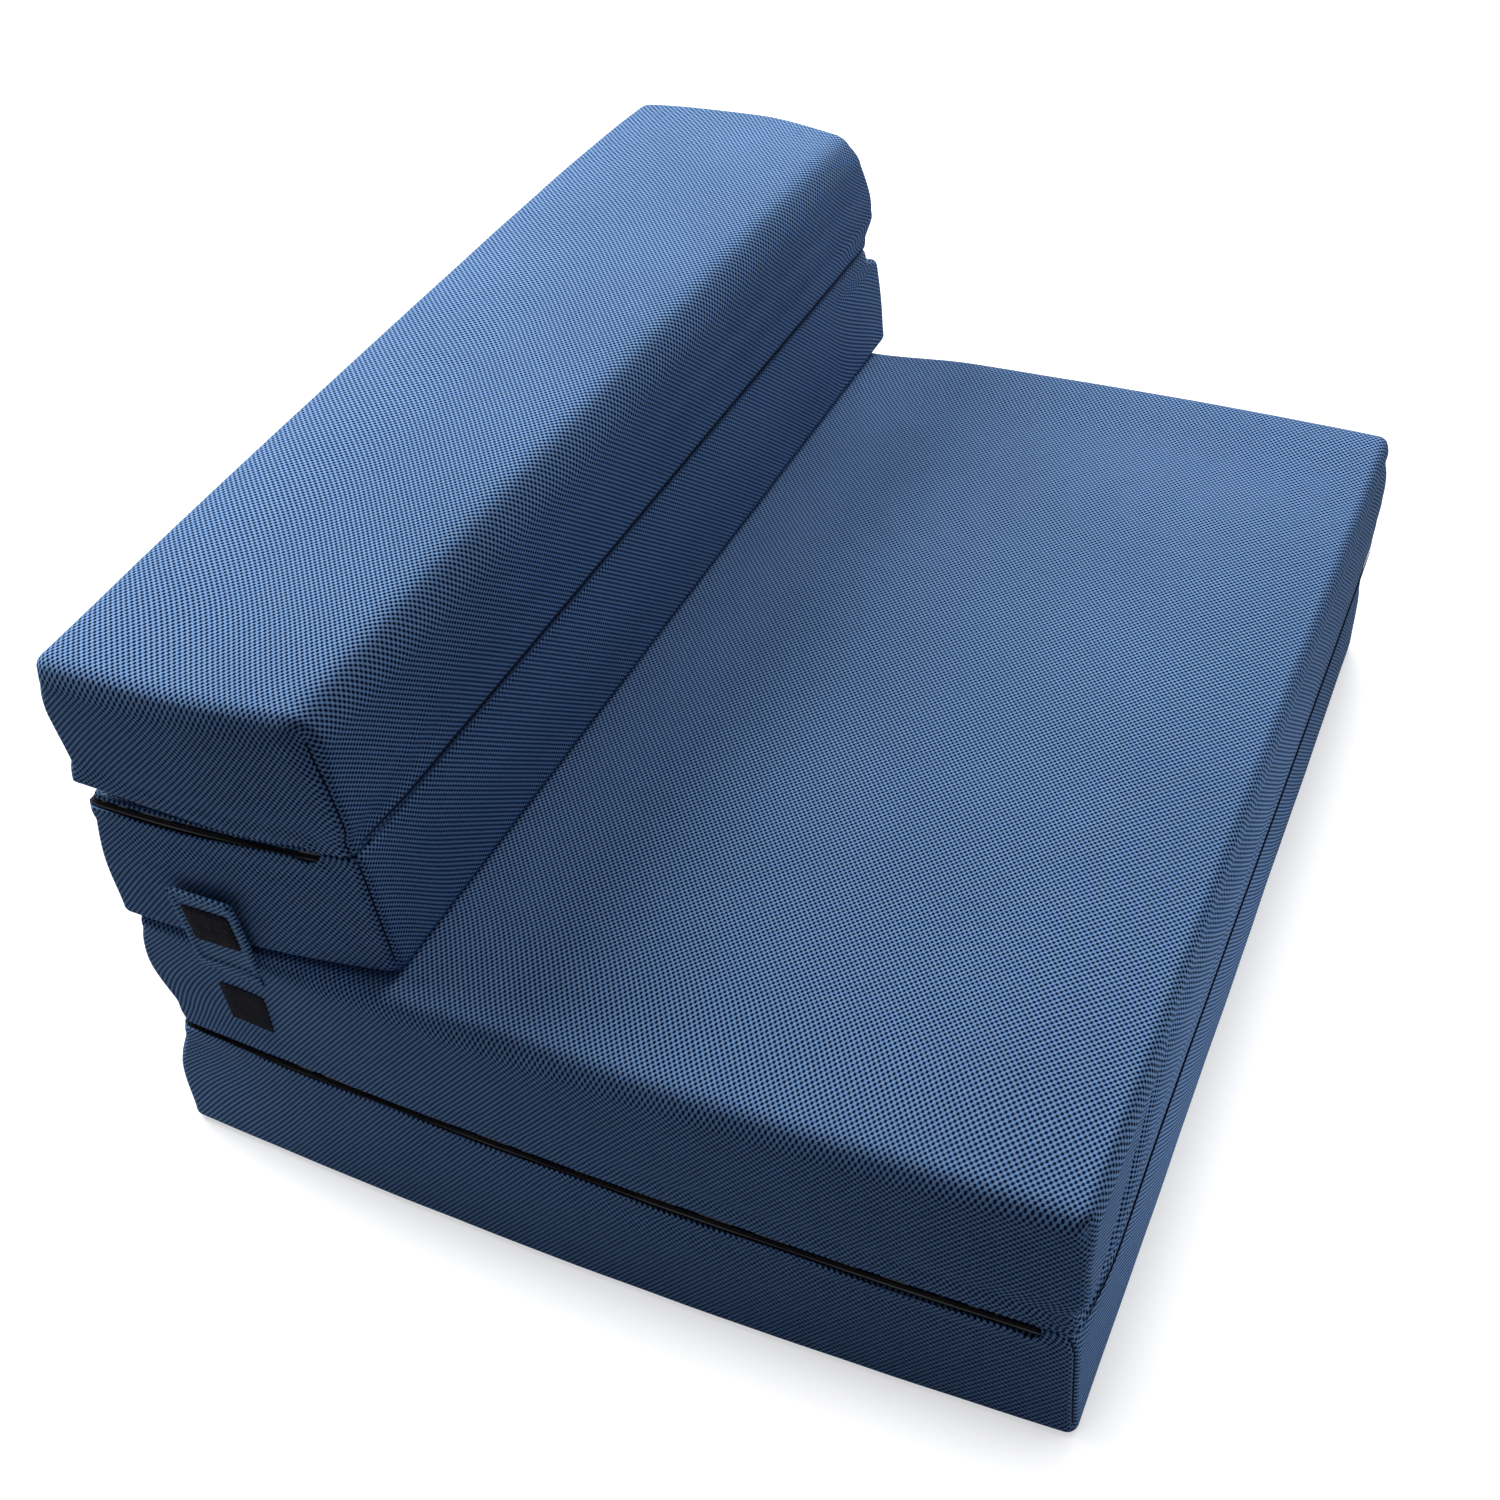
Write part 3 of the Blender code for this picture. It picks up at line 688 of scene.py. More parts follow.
def between(values, share, s):
    """A length in millimetres between four corners: two at the inner face, two at the outer."""
    first_inner, first_outer, last_inner, last_outer = values
    inner = first_inner + (last_inner - first_inner) * share
    outer = first_outer + (last_outer - first_outer) * share
    return MM * (inner + (outer - inner) * s)


def end_shift(cushion, across, along, height):
    """How far the ends move across: the bow 1 - v^2, the bulge over the zip, and the dent
    that the loop patch is held in."""
    v = along / cushion.half_depth
    s = height / cushion.layer
    arch = 1 - v**2
    belly = smooth(s / BELLY_FOOT)
    belly = belly * (1 - BELLY_LOSS * smooth((s - BELLY_HEAD) / (1 - BELLY_HEAD)))
    near = -(cushion.bow + cushion.near_bulge * belly) * arch
    near = near - between(cushion.near, (1 + v) / 2, s)
    far = cushion.far_bulge * arch * belly
    far = far + between(cushion.far, smooth((1 + v) / cushion.far_run), s)
    far = far * smooth((height - ZIP_CHANNEL) / ZIP_EASE)
    place, rise = HELD_PLACE
    wide, tall = HELD_REACH
    held = cushion.held * bell((along - place) / wide, (height - rise) / tall)
    end = smooth((np.abs(across) - cushion.half_width + END_REACH) / END_REACH)
    return end * np.where(across < 0, near + held, far - held)


# %% [markdown]
# ## How the front and the rear stand out
#
# The front is drawn in where the cushions fold, and bellies out above. The fold squeezes
# creases into it, which start together at the near corner, wander, and fade along the front.
# The rear bulges freely, and is tucked in below by its zip.

# %% Front and rear
SIDE_REACH = 110 * MM
REAR_SPREAD = 0.33
FULLEST = 0.35
TUCK_POWER = 1.3
NOTCH_POWER = 1.6
BELLY_LOW = 0.35
BELLY_RUN = 0.5
CREASE_LOW = 0.2
CREASE_RUN = 0.4
CREASE_FADE = 0.4
CREASE_GATHER = 1.6
CREASE_SWING = 3 * MM


def rear_shift(cushion, u, s, height):
    """The bulge, (1 - half of the squared distance from its fullest place) (1 - u^8), and
    below it the tuck, which is eased up to its reach."""
    most, peak, at_corner = cushion.rear_bulge
    puffed = most * (1 - 0.5 * (u - FULLEST) ** 2) * (1 - u**8)
    puffed = puffed + at_corner * np.minimum(u, 0) ** 8
    near_in, near_out, far_in, far_out = cushion.rear
    tuck = (1 - smooth(height / cushion.tuck_reach)) ** TUCK_POWER
    pulled = between((near_in, 0, far_in, 0), (1 + u) / 2, 0 * s) * tuck
    puffed = puffed * bell((s - peak) / REAR_SPREAD)
    return puffed + pulled + between((0, near_out, 0, far_out), (1 + u) / 2, s)


def front_shift(cushion, u, s, height):
    """The notch, a power of 1 - height / reach, less the belly, plus a bell for each crease.
    The belly and the creases are low at the near corner, and the creases are deeper there."""
    deepest, reach = cushion.notch
    drawn_in = deepest * np.clip(1 - height / reach, 0, 1) ** NOTCH_POWER
    most, peak, below, above = cushion.front_belly
    peak = peak * (BELLY_LOW + (1 - BELLY_LOW) * smooth((1 + u) / BELLY_RUN))
    width = np.where(height < peak, below, above)
    drawn_in = drawn_in - most * (1 - 0.5 * u**4) * bell((height - peak) / width)
    from_corner = smooth((1 + u) / CREASE_RUN)
    for place, depth, width in cushion.creases:
        swing = CREASE_SWING * np.sin(2.2 * u + place / MM)
        wander = place * (CREASE_LOW + (1 - CREASE_LOW) * from_corner) + swing
        fade = 1 - CREASE_FADE + CREASE_FADE * np.sin(3.1 * u + 0.7 * place / MM)
        fade = fade + CREASE_GATHER * (1 - from_corner)
        drawn_in = drawn_in + depth * fade * bell((height - wander) / width)
    return drawn_in - between(cushion.front, (1 + u) / 2, s)


def side_shift(cushion, across, along, height):
    """How far the front and the rear move along, each eased out towards the middle."""
    u = across / cushion.half_width
    s = height / cushion.layer
    reach = min(SIDE_REACH, cushion.half_depth)
    rear = smooth((along - cushion.half_depth + reach) / reach)
    front = smooth((-along - cushion.half_depth + reach) / reach)
    return front * front_shift(cushion, u, s, height) + rear * rear_shift(cushion, u, s, height)


# %% [markdown]
# ## Rounded edges
#
# Clipping a place to a smaller box leaves the vector that the edge's radius has to round off.
# Made a unit long and multiplied by the radii again, it ends on a quarter of an ellipse. One
# formula so rounds faces, edges and corners, with a tighter radius up the seams.

# %% Rounded box
UPPER_EASE = 35 * MM
SIDE_EDGE_START = 90 * MM
SIDE_EDGE_EASE = 70 * MM


def rounded(cushion, across, along, height):
    """A place on the box's rounded edges, the unit vector out of them, and the edge's radius:
    the place is core + radii n, with n the unit vector along (box place - core) / radii."""
    a, b, top = cushion.half_width, cushion.half_depth, cushion.layer
    side_edge = np.where(along < 0, cushion.front_radius, cushion.rear_radius)
    by_side = smooth((np.abs(along) - b + SIDE_EDGE_START) / SIDE_EDGE_EASE)
    edge = cushion.edge_radius + (side_edge - cushion.edge_radius) * by_side
    upper = smooth((height - top + edge + UPPER_EASE) / UPPER_EASE)
    radius_x = CORNER_RADIUS + (cushion.edge_radius - CORNER_RADIUS) * upper
    radius_y = CORNER_RADIUS + (side_edge - CORNER_RADIUS) * upper
    core_x = np.clip(across, radius_x - a, a - radius_x)
    core_y = np.clip(along, radius_y - b, b - radius_y)
    core = np.stack([core_x, core_y, np.minimum(height, top - edge)], -1)
    radii = np.stack([radius_x, radius_y, edge], -1)
    outwards = (np.stack([across, along, height], -1) - core) / radii
    outwards /= np.linalg.norm(outwards, axis=-1, keepdims=True)
    return core + outwards * radii, outwards, edge


# %% [markdown]
# ## Crown, curl and seams
#
# The outer face rises to a crown, but not where the backrest lies on it. The near rear corner
# of the top cushion curls up a little, which opens the gap that shows there. The borders are
# drawn into a groove along each corner seam, and stand out over the zip.

# %% Crown and cloth
BACKREST_FRONT = cushions["back_upper"].middle - cushions["back_upper"].half_depth
PRESSED_GAP = 4 * MM
PRESSED_REACH = 110 * MM
CURL_REACH = 150 * MM
SEAM_GROOVE = 1.3 * MM
SEAM_WIDTH = 2.6 * MM
SEAM_TOP = 0.86
PINCH_WIDTH = 9 * MM
PINCH_PLACE = 0.9
PINCH_REACH = 0.07
RUMPLE = 0.45 * MM
RUMPLE_RISE = 20 * MM
RUMPLE_INSET = 25 * MM


def crown_rise(cushion, across, along, height, edge):
    """(1 - half the fourth power) both ways, from 0 at the edge's foot to all on the face."""
    u, v = across / cushion.half_width, along / cushion.half_depth
    outer = np.clip((height - cushion.layer + edge) / edge, 0, 1)
    arch = (1 - 0.5 * np.abs(u) ** 4) * (1 - 0.5 * np.abs(v) ** 4)
    crown = cushion.crown * arch * outer
    if cushion.pressed:
        to_backrest = BACKREST_FRONT - PRESSED_GAP - (along + cushion.middle)
        crown = crown * smooth(to_backrest / PRESSED_REACH)
    return crown


def curl_rise(cushion, across, along, height):
    """The lift of the near rear corner, most at the inner face and none at the outer."""
    curl_x = smooth((CURL_REACH - cushion.half_width - across) / CURL_REACH)
    curl_y = smooth((CURL_REACH - cushion.half_depth + along) / CURL_REACH)
    return cushion.curl * curl_x * curl_y * (1 - smooth(height / cushion.layer))


def cloth_out(cushion, across, along, height):
    """How far the cloth stands out: over its zip, in at its seams, and unevenly between."""
    s = height / cushion.layer
    from_end = cushion.half_width - np.abs(across)
    corner = np.maximum(from_end, cushion.half_depth - np.abs(along))
    seam = bell(corner / SEAM_WIDTH) * (1 - smooth((s - SEAM_TOP) / 0.1))
    seam = seam * np.where(along < 0, cushion.front_seams, 1)
    pinch = bell(corner / PINCH_WIDTH, (s - PINCH_PLACE) / PINCH_REACH)
    flap = flap_out(cushion, across, along) * (1 - smooth((height - ZIP_CHANNEL) / ZIP_CHANNEL))
    free = smooth(height / RUMPLE_RISE) * smooth(corner / RUMPLE_INSET)
    waves = RUMPLE * rumple(across, along, height, cushion.seed) * free
    return flap - SEAM_GROOVE * seam - cushion.pinch * pinch + waves


def upholstered(cushion, across, along, height, out=0):
    """Where the cover is for a place on the cushion's box, or a piece that stands out from it."""
    across, along, height, out = np.broadcast_arrays(across, along, height, out)
    place, outwards, edge = rounded(cushion, across, along, height)
    place[..., 0] += end_shift(cushion, across, along, height)
    place[..., 1] += side_shift(cushion, across, along, height)
    place[..., 2] += crown_rise(cushion, across, along, height, edge)
    level = np.hypot(outwards[..., 0], outwards[..., 1])
    sideways = outwards[..., :2] / np.maximum(level, 1e-6)[..., None]
    moved = cloth_out(cushion, across, along, height) * smooth(level * 2) + out
    place[..., :2] += sideways * moved[..., None]
    place[..., 2] += curl_rise(cushion, across, along, height)
    place[..., 1] += cushion.middle
    place[..., 2] = cushion.inner_z + cushion.out * place[..., 2]
    return place


# %% [markdown]
# ## Places on the box
#
# Points are close together where the cloth bends, round the edges and where the zip starts,
# and wider apart on the flat. All pieces of a cushion use the same places, so their edges
# meet point on point.

# %% Places
EDGE_STEPS = 8
GRID_PITCH = 6.5 * MM
NARROWEST = 0.4 * MM


def edge_spaced(low, high, radius, pitch):
    """Places from low to high: even steps inside, and even angles round both rounded edges."""
    rim = radius * (1 - np.tan(np.linspace(0, np.pi / 4, EDGE_STEPS + 1)))
    count = max(2, round((high - low - 2 * radius) / pitch))
    inside = np.linspace(low + radius, high - radius, count + 1)
    return np.concatenate([low + rim[:0:-1], inside, high - rim[1:]])


def box_places(cushion):
    """Places across and along the box, finer round its edges and where the zip ends."""
    across = edge_spaced(-cushion.half_width, cushion.half_width, EDGE_RADIUS, GRID_PITCH)
    along = edge_spaced(-cushion.half_depth, cushion.half_depth, EDGE_RADIUS, GRID_PITCH)
    zip_end = [np.linspace(-MM, HEM_EASE, 8) + start - cushion.half_depth
               for start in (cushion.near_zip_start, cushion.far_zip_start)]
    along = np.unique(np.concatenate([along, *zip_end]))
    keep = np.concatenate([[True], np.diff(along[:-1]) > NARROWEST, [True]])
    return across, along[keep]


def sides(cushion):
    """The box's four sides as (across, along, is an end): near, front, far and rear."""
    across, along = box_places(cushion)
    a, b = cushion.half_width, cushion.half_depth
    return (
        (np.full_like(along, -a), along, True),
        (across, np.full_like(across, -b), False),
        (np.full_like(along, a), along, True),
        (across, np.full_like(across, b), False),
    )


# %% [markdown]
# ## Lengths along the cloth
#
# A weave keeps its size when it is drawn by the length of the cloth, and not by the place in
# space. The cloth of a cover is cut as a cross: the face in the middle and a border on each
# side, so a length is counted from the middle of the face, round the edge and down.


# %% Lengths
def along_cloth(distance, half, radius):
    """The length from the middle of a face to a place that far out, round the edge's arc."""
    over = np.clip(np.abs(distance) - (half - radius), 0, None)
    flat = np.minimum(np.abs(distance), half - radius)
    return np.sign(distance) * (flat + radius * np.arctan(over / radius))


def down_cloth(half, drop, radius):
    """The length from the middle of a face, over its edge and down its border by drop."""
    arc = radius * (np.pi / 2 - np.arctan(np.clip(radius - drop, 0, None) / radius))
    return half - radius + arc + np.clip(drop - radius, 0, None)


def cloth_run(cushion):
    """The lengths of the box's places across and along, seen from its outer side."""
    across, along = box_places(cushion)
    side_edge = np.where(along < 0, cushion.front_radius, cushion.rear_radius)
    return (cushion.out * along_cloth(across, cushion.half_width, cushion.edge_radius),
            along_cloth(along, cushion.half_depth, side_edge))


# %% [markdown]
# ## Borders, faces and lids
#
# A closed bag is a crowned face, four borders that hang from it, and a flat lid inside their
# last row of points. The weave runs on from the face over its edges, and turns only at the
# corner seams.


# %% Borders and lids
def strips(cushion, rows):
    """A strip per side. rows(across, along) gives its heights and outs, one row for each line."""
    a, b = cushion.half_width, cushion.half_depth
    run_across, run_along = cloth_run(cushion)
    made = []
    for x, y, is_end in sides(cushion):
        height, out = rows(x, y)
        points = upholstered(cushion, x, y, height, out)
        drop = cushion.layer - height
        if is_end:
            down = cushion.out * np.sign(x) * down_cloth(a, drop, cushion.edge_radius)
            lengths = [down, np.broadcast_to(run_along, down.shape)]
        else:
            radius = cushion.front_radius if y[0] < 0 else cushion.rear_radius
            down = np.sign(y) * down_cloth(b, drop, radius)
            lengths = [np.broadcast_to(run_across, down.shape), down]
        made.append((points, np.stack(lengths, -1)))
    return made


def lid(cushion, edges):
    """A panel inside four edges: straight lines across and along it, less what both count twice."""
    across, along = box_places(cushion)
    near, front, far, rear = edges
    share = ((across + cushion.half_width) / (2 * cushion.half_width))[None, :, None]
    depth = ((along + cushion.half_depth) / (2 * cushion.half_depth))[:, None, None]
    ends = near[:, None] * (1 - share) + far[:, None] * share
    fronts = front[None] * (1 - depth) + rear[None] * depth
    corners = (near[0] * (1 - share) + far[0] * share) * (1 - depth)
    corners = corners + (near[-1] * (1 - share) + far[-1] * share) * depth
    return ends + fronts - corners, np.stack(np.meshgrid(across, along), -1)


def crowned_face(cushion):
    """The outer face, from edge to edge."""
    across, along = box_places(cushion)
    face = upholstered(cushion, across[None], along[:, None], cushion.layer)
    return face, np.stack(np.meshgrid(*cloth_run(cushion)), -1)


def closed_bag(cushion, rows):
    """The crowned face, the borders below it and a flat lid inside their last row."""
    borders = strips(cushion, rows)
    last = lid(cushion, [points[-1] for points, _ in borders])
    return [crowned_face(cushion), *borders, last]


# %% [markdown]
# ## The covers
#
# Each cover is such a bag of mesh. At its foot, a border ends in a hem that stands over its
# zip like a flap, turns in behind it, and closes the bag under the base sheet.

# %% Covers
BORDER_PITCH = 3.2 * MM
HEM_ROWS = 15 * MM
FABRIC = 3.5 * MM
LIP_ROUND = 0.7 * MM
LIP_THICKNESS = 1.6 * MM
FLAP_BACK = 1.7 * MM
CHANNEL_BACK = 3.2 * MM
CHANNEL_SLOPE = 0.2 * MM
BAG_FOOT = 4 * MM


def border_shares(cushion):
    """Shares of a border's height, from its outer edge to its hem: finer round the edge."""
    radius = cushion.edge_radius
    rim = radius * (1 - np.tan(np.linspace(np.pi / 4, 0, EDGE_STEPS + 1)))
    hem = cushion.layer - HEM_ROWS
    rest = np.linspace(radius, hem, round((hem - radius) / BORDER_PITCH) + 1)
    close = np.linspace(hem, cushion.layer, 12)
    return np.concatenate([rim, rest[1:], close[1:]]) / cushion.layer


def cover_rows(cushion):
    """Down the border to its hem, round its lip, up behind the flap, in, and down."""

    def rows(across, along):
        hem = hem_height(cushion, across, along)
        border = cushion.layer - border_shares(cushion)[:, None] * (cushion.layer - hem)
        flap = flap_out(cushion, across, along)
        even = np.ones_like(hem)
        under = [
            (hem - LIP_ROUND, -LIP_THICKNESS / 2 * even),
            (hem, -LIP_THICKNESS * even),
            (ZIP_CHANNEL * even, -FLAP_BACK * even),
            (ZIP_CHANNEL + CHANNEL_SLOPE * even, -CHANNEL_BACK - flap),
            (FABRIC * even, -BAG_FOOT - flap),
        ]
        heights = np.concatenate([border, [row[0] for row in under]])
        outs = np.concatenate([0 * border, [row[1] for row in under]])
        return heights, outs

    return rows


def add_piece(name, part, patches, finish, node=None):
    """A sewn piece that rides on its cushion, and stands for a node of it."""
    piece = sewn(f"{name}_{part}", patches, finish, name)
    if node:
        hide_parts(f"{name}_{node}")
    pieces[name].append(piece)
    return piece


for name, cushion in cushions.items():
    patches = closed_bag(cushion, cover_rows(cushion))
    cover = add_piece(name, "mesh_cover", patches, cover_mesh, "cover")

# %% [markdown]
# ## Foam cores
#
# Each cover is filled by a foam block that takes the cover's shape from inside. It is the same
# rule without the zip's flap, moved in along its own normals by the cloth's thickness.

# %% Cores
FIT_GAP = 0.5 * MM
CORE_FOOT = 10 * MM
CORE_TUCK = 7 * MM


def core_rows(cushion):
    """Down the border to the base sheet, with a small rounded edge there."""

    def rows(across, along):
        border = cushion.layer - border_shares(cushion)[:, None] * (cushion.layer - CORE_FOOT)
        border = np.broadcast_to(border, (border.shape[0], across.size))
        foot = np.full((1, across.size), FABRIC + FIT_GAP)
        return np.concatenate([border, foot]), np.concatenate([0 * border, 0 * foot - CORE_TUCK])

    return rows


def moved_in(piece, depth):
    """Move every vertex in along its normal by a depth."""
    mesh = piece.data
    places = np.empty(len(mesh.vertices) * 3, np.float32)
    normals = np.empty_like(places)
    mesh.vertices.foreach_get("co", places)
    mesh.vertices.foreach_get("normal", normals)
    mesh.vertices.foreach_set("co", places - depth * normals)
    mesh.update()


for name, cushion in cushions.items():
    patches = closed_bag(cushion.bare, core_rows(cushion.bare))
    core = add_piece(name, "foam_core", patches, foam_finish, "foam")
    moved_in(core, FABRIC + FIT_GAP)

# %% [markdown]
# ## Base sheets
#
# The inner face of each cushion is a flat sheet of the same mesh, zipped to the borders on
# three sides. Unfolded, these four sheets are the lying surface. Folded, only their rims show
# beside the zips.

# %% Sheets
SHEET_INSET = 2.4 * MM
SHEET_GAP = 0.3 * MM
SHEET_LEVELS = (FABRIC, FABRIC - 0.5 * MM, 0.9 * MM, 0.2 * MM)
SHEET_TURN = (1.0 * MM, 0, 0, 1.2 * MM)


def sheet_rows(cushion):
    """A thin rounded rim between two flat faces, drawn in where the zip's flap covers it."""

    def rows(across, along):
        rim = -SHEET_INSET * (1 - open_share(cushion, across)) * np.ones_like(along)
        rim = rim * zip_share(cushion, across, along) - SHEET_GAP
        return np.array(SHEET_LEVELS)[:, None] + 0 * rim, rim - np.array(SHEET_TURN)[:, None]

    return rows


for name, cushion in cushions.items():
    rims = strips(cushion.bare, sheet_rows(cushion.bare))
    faces = [lid(cushion, [points[row] for points, _ in rims]) for row in (0, -1)]
    patches = [*rims, *faces]
    sheet = add_piece(name, "lying_sheet", patches, cover_mesh, "base_sheet")

# %% [markdown]
# ## Zips
#
# A zip is two woven tapes with a coil between them. All three are bands carried along the same
# path: back along the near end, across the rear, and forward along the far end. A band's
# profile shrinks to a point at both ends, which rounds them off.

# %% Zip bands
ROUND_END = 4 * MM
TAPE_STEP = 4 * MM
TOOTH = 1.5 * MM
TOOTH_WAVE = 0.14
TAPE_HALF = 0.4 * MM
BAND_SIDES = 8


def zip_path(cushion):
    """Places on the box along the zip, from its near start round the rear to its far one."""
    across, along = box_places(cushion)
    a, b = cushion.half_width, cushion.half_depth
    near_start, far_start = cushion.near_zip_start - b, cushion.far_zip_start - b
    near = np.concatenate([[near_start], along[along > near_start]])
    far = np.concatenate([along[along > far_start][::-1], [far_start]])
    x = np.concatenate([np.full_like(near, -a), across[1:-1], np.full_like(far, a)])
    y = np.concatenate([near, np.full_like(across[1:-1], b), far])
    return x, y


def finer(x, y, step):
    """The same path with even steps, and its lengths."""
    run = np.concatenate([[0], np.cumsum(np.hypot(np.diff(x), np.diff(y)))])
    even = np.linspace(0, run[-1], max(2, round(run[-1] / step)) + 1)
    return np.interp(even, run, x), np.interp(even, run, y), even


def fuller(value, power):
    """A sine or cosine raised to a power that keeps its sign: 1 draws an oval, 1/4 a tape."""
    return np.sign(value) * np.abs(value) ** power


def band(cushion, height, out, half_height, half_depth, toothed):
    """A closed band along the zip: its profile is flat for tape, and round for a coil, whose
    size swells and shrinks by a cosine with each tooth."""
    x, y, run = finer(*zip_path(cushion), TOOTH / 4 if toothed else TAPE_STEP)
    end = np.clip(np.minimum(run, run[-1] - run) / ROUND_END, 0, 1)
    full = np.sqrt(1 - (1 - end) ** 2)
    if toothed:
        full = full * (1 - TOOTH_WAVE + TOOTH_WAVE * np.cos(2 * np.pi * run / TOOTH))
    turn = np.linspace(0, 2 * np.pi, BAND_SIDES + 1)[:, None]
    power = 1 if toothed else 0.25
    rise = height + half_height * fuller(np.sin(turn), power) * full
    reach = out + half_depth * fuller(np.cos(turn), power) * full
    points = upholstered(cushion, x, y, rise, reach)
    return [(points, np.stack(np.broadcast_arrays(run[None], rise), -1))]


ZIP_PARTS = {
    "tape_base": dict(height=6.7 * MM, out=-1.6 * MM, half_height=2.9 * MM,
                      half_depth=TAPE_HALF, toothed=False),
    "tape_cover": dict(height=10.4 * MM, out=-2.4 * MM, half_height=1.5 * MM,
                       half_depth=TAPE_HALF, toothed=False),
    "coil": dict(height=7.9 * MM, out=-0.9 * MM, half_height=1.4 * MM,
                 half_depth=0.65 * MM, toothed=True),
}
for name, cushion in cushions.items():
    for part, place in ZIP_PARTS.items():
        finish, slot = (coil_nylon, "zip_nylon") if part == "coil" else (tape_twill, "zip_cloth")
        patches = band(cushion.bare, **place)
        add_piece(name, f"woven_{part}", patches, finish, f"zip_{part}")

# %% [markdown]
# ## Seams
#
# Two borders meet in a sewn seam at each corner, where the cover's rule already sinks a
# groove. A thin dark roll in it gives the dark line there: the seam's thread, and painted shade
# in its groove. The two upper cushions have one more, along the fold at their front, which is
# only painted shade under the overhanging lip.

# %% Seam rolls
SEAM_ROLL = 0.8 * MM
SEAM_FOOT = 3 * MM
SEAM_HEAD = 0.9
# Height of the dark roll along the front fold, painted as the shade under the lip
FOLD_SHADE_HEIGHT = 5.6 * MM
ROLL_SIDES = 8
CORNER_STEPS = 60
FOLD_STEPS = 240


def rolled(middle, run, outward, side):
    """A round roll along points: middle + r (cos t outward + sin t side), closed at its ends."""
    full = np.sqrt(1 - np.abs(np.linspace(-1, 1, run.size)) ** 12)
    turn = np.linspace(0, 2 * np.pi, ROLL_SIDES + 1)[:, None]
    reach = SEAM_ROLL * full * np.stack([np.cos(turn), np.sin(turn)])
    points = middle + reach[0][..., None] * np.array(outward)
    points = points + reach[1][..., None] * np.array(side)
    return points, np.stack(np.broadcast_arrays(run[None], turn * SEAM_ROLL), -1)


def corner_roll(cushion, x, y):
    """Up one corner of the box, from the hem to where the edge turns over."""
    height = np.linspace(SEAM_FOOT, SEAM_HEAD * cushion.layer, CORNER_STEPS)
    outward = np.array([x, y, 0]) / np.hypot(x, y)
    side = (-outward[1], outward[0], 0)
    return rolled(upholstered(cushion, x, y, height), height, outward, side)


def fold_shade_roll(cushion):
    """Along the fold at the front, just over the inner face: a dark roll painted as the shade under
    the lip.
    """
    reach = cushion.half_width - CORNER_RADIUS
    across = np.linspace(-reach, reach, FOLD_STEPS)
    height = FOLD_SHADE_HEIGHT * (1 + 0.1 * np.sin(5 * across / reach))
    middle = upholstered(cushion, across, -cushion.half_depth, height, 1.2 * SEAM_ROLL)
    return rolled(middle, across, (0, -1, 0), (0, 0, 1))


for name, cushion in cushions.items():
    a, b = cushion.half_width, cushion.half_depth
    places = [(x, y) for x in (-a, a) for y in (-b, b) if y > 0 or cushion.front_seams]
    rolls = [corner_roll(cushion, x, y) for x, y in places]
    # Along the front fold the dark roll is only painted shade under the upper cushion's lip
    if cushion.out > 0:
        rolls.append(fold_shade_roll(cushion))
    add_piece(name, "seams_and_fold_shade", rolls, seam_thread_and_shade)

# %% [markdown]
# ## Fold hinges
#
# Where two cushions fold, their cloth is joined by one strip. It lies in the groove as a
# narrow U, and has to open flat. Here it is built in its folded place only, and rides on no
# cushion.

# %% Hinge strips
STRIP_THICKNESS = 0.9 * MM
STRIP_POINTS = 15
STRIP_STEPS = 160
SEAT_FRONT = -cushions["seat_upper"].half_depth
SEAT_REAR = cushions["seat_upper"].half_depth


def middle_of(node, axis):
    """The middle of a node's box along an axis."""
    low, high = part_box(node)
    return (low[axis] + high[axis]) / 2


def fold_strip(node, edge, inner, spread, half_width=470 * MM, shift=0):
    """A U-shaped strip: half an oval from rim to rim, two layers thick, carried across. Its
    rims are at edge, its bend at inner, and it is twice spread high."""
    axis_z = middle_of(node, 2)
    x = np.linspace(-half_width, half_width, STRIP_STEPS) + shift
    turn = np.linspace(-np.pi / 2, np.pi / 2, STRIP_POINTS)
    outer = np.stack([inner + (edge - inner) * np.cos(turn), spread * np.sin(turn)], -1)
    thinner = (edge - inner) - np.sign(edge - inner) * STRIP_THICKNESS
    under = np.stack([inner + thinner * np.cos(turn), 0.5 * spread * np.sin(turn)], -1)
    loop = np.concatenate([outer, under[::-1], outer[:1]])
    points = np.empty((len(loop), x.size, 3))
    points[..., 0] = x
    points[..., 1] = loop[:, :1]
    points[..., 2] = axis_z + loop[:, 1:]
    run = np.concatenate([[0], np.cumsum(np.linalg.norm(np.diff(loop, axis=0), axis=1))])
    lengths = np.stack(np.meshgrid(x, run), -1)
    layers = np.stack([points[:STRIP_POINTS], points[STRIP_POINTS:-1][::-1]])
    ends = [(layers[:, :, side], np.zeros((2, STRIP_POINTS, 2))) for side in (0, -1)]
    strip = sewn(node + "_cloth", [(points, lengths), *ends], cover_mesh)
    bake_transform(strip)
    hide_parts(node)


fold_strip("seat_fold_strip",
           edge=SEAT_FRONT + 6 * MM, inner=SEAT_FRONT + 11 * MM, spread=1.6 * MM)
fold_strip("rear_fold_strip",
           edge=SEAT_REAR - 0.6 * MM, inner=SEAT_REAR - 7 * MM, spread=1.3 * MM)
fold_strip("backrest_fold_strip",
           edge=BACKREST_FRONT + 1.2 * MM, inner=BACKREST_FRONT + 6 * MM, spread=1.4 * MM,
           half_width=462 * MM, shift=8 * MM)

# %% [markdown]
# ## Panels
#
# Tabs and patches are rounded panels: rings of one rounded rectangle, each further in than
# the last, down to a line. What changes from piece to piece is the surface that the flat
# panel lies on.

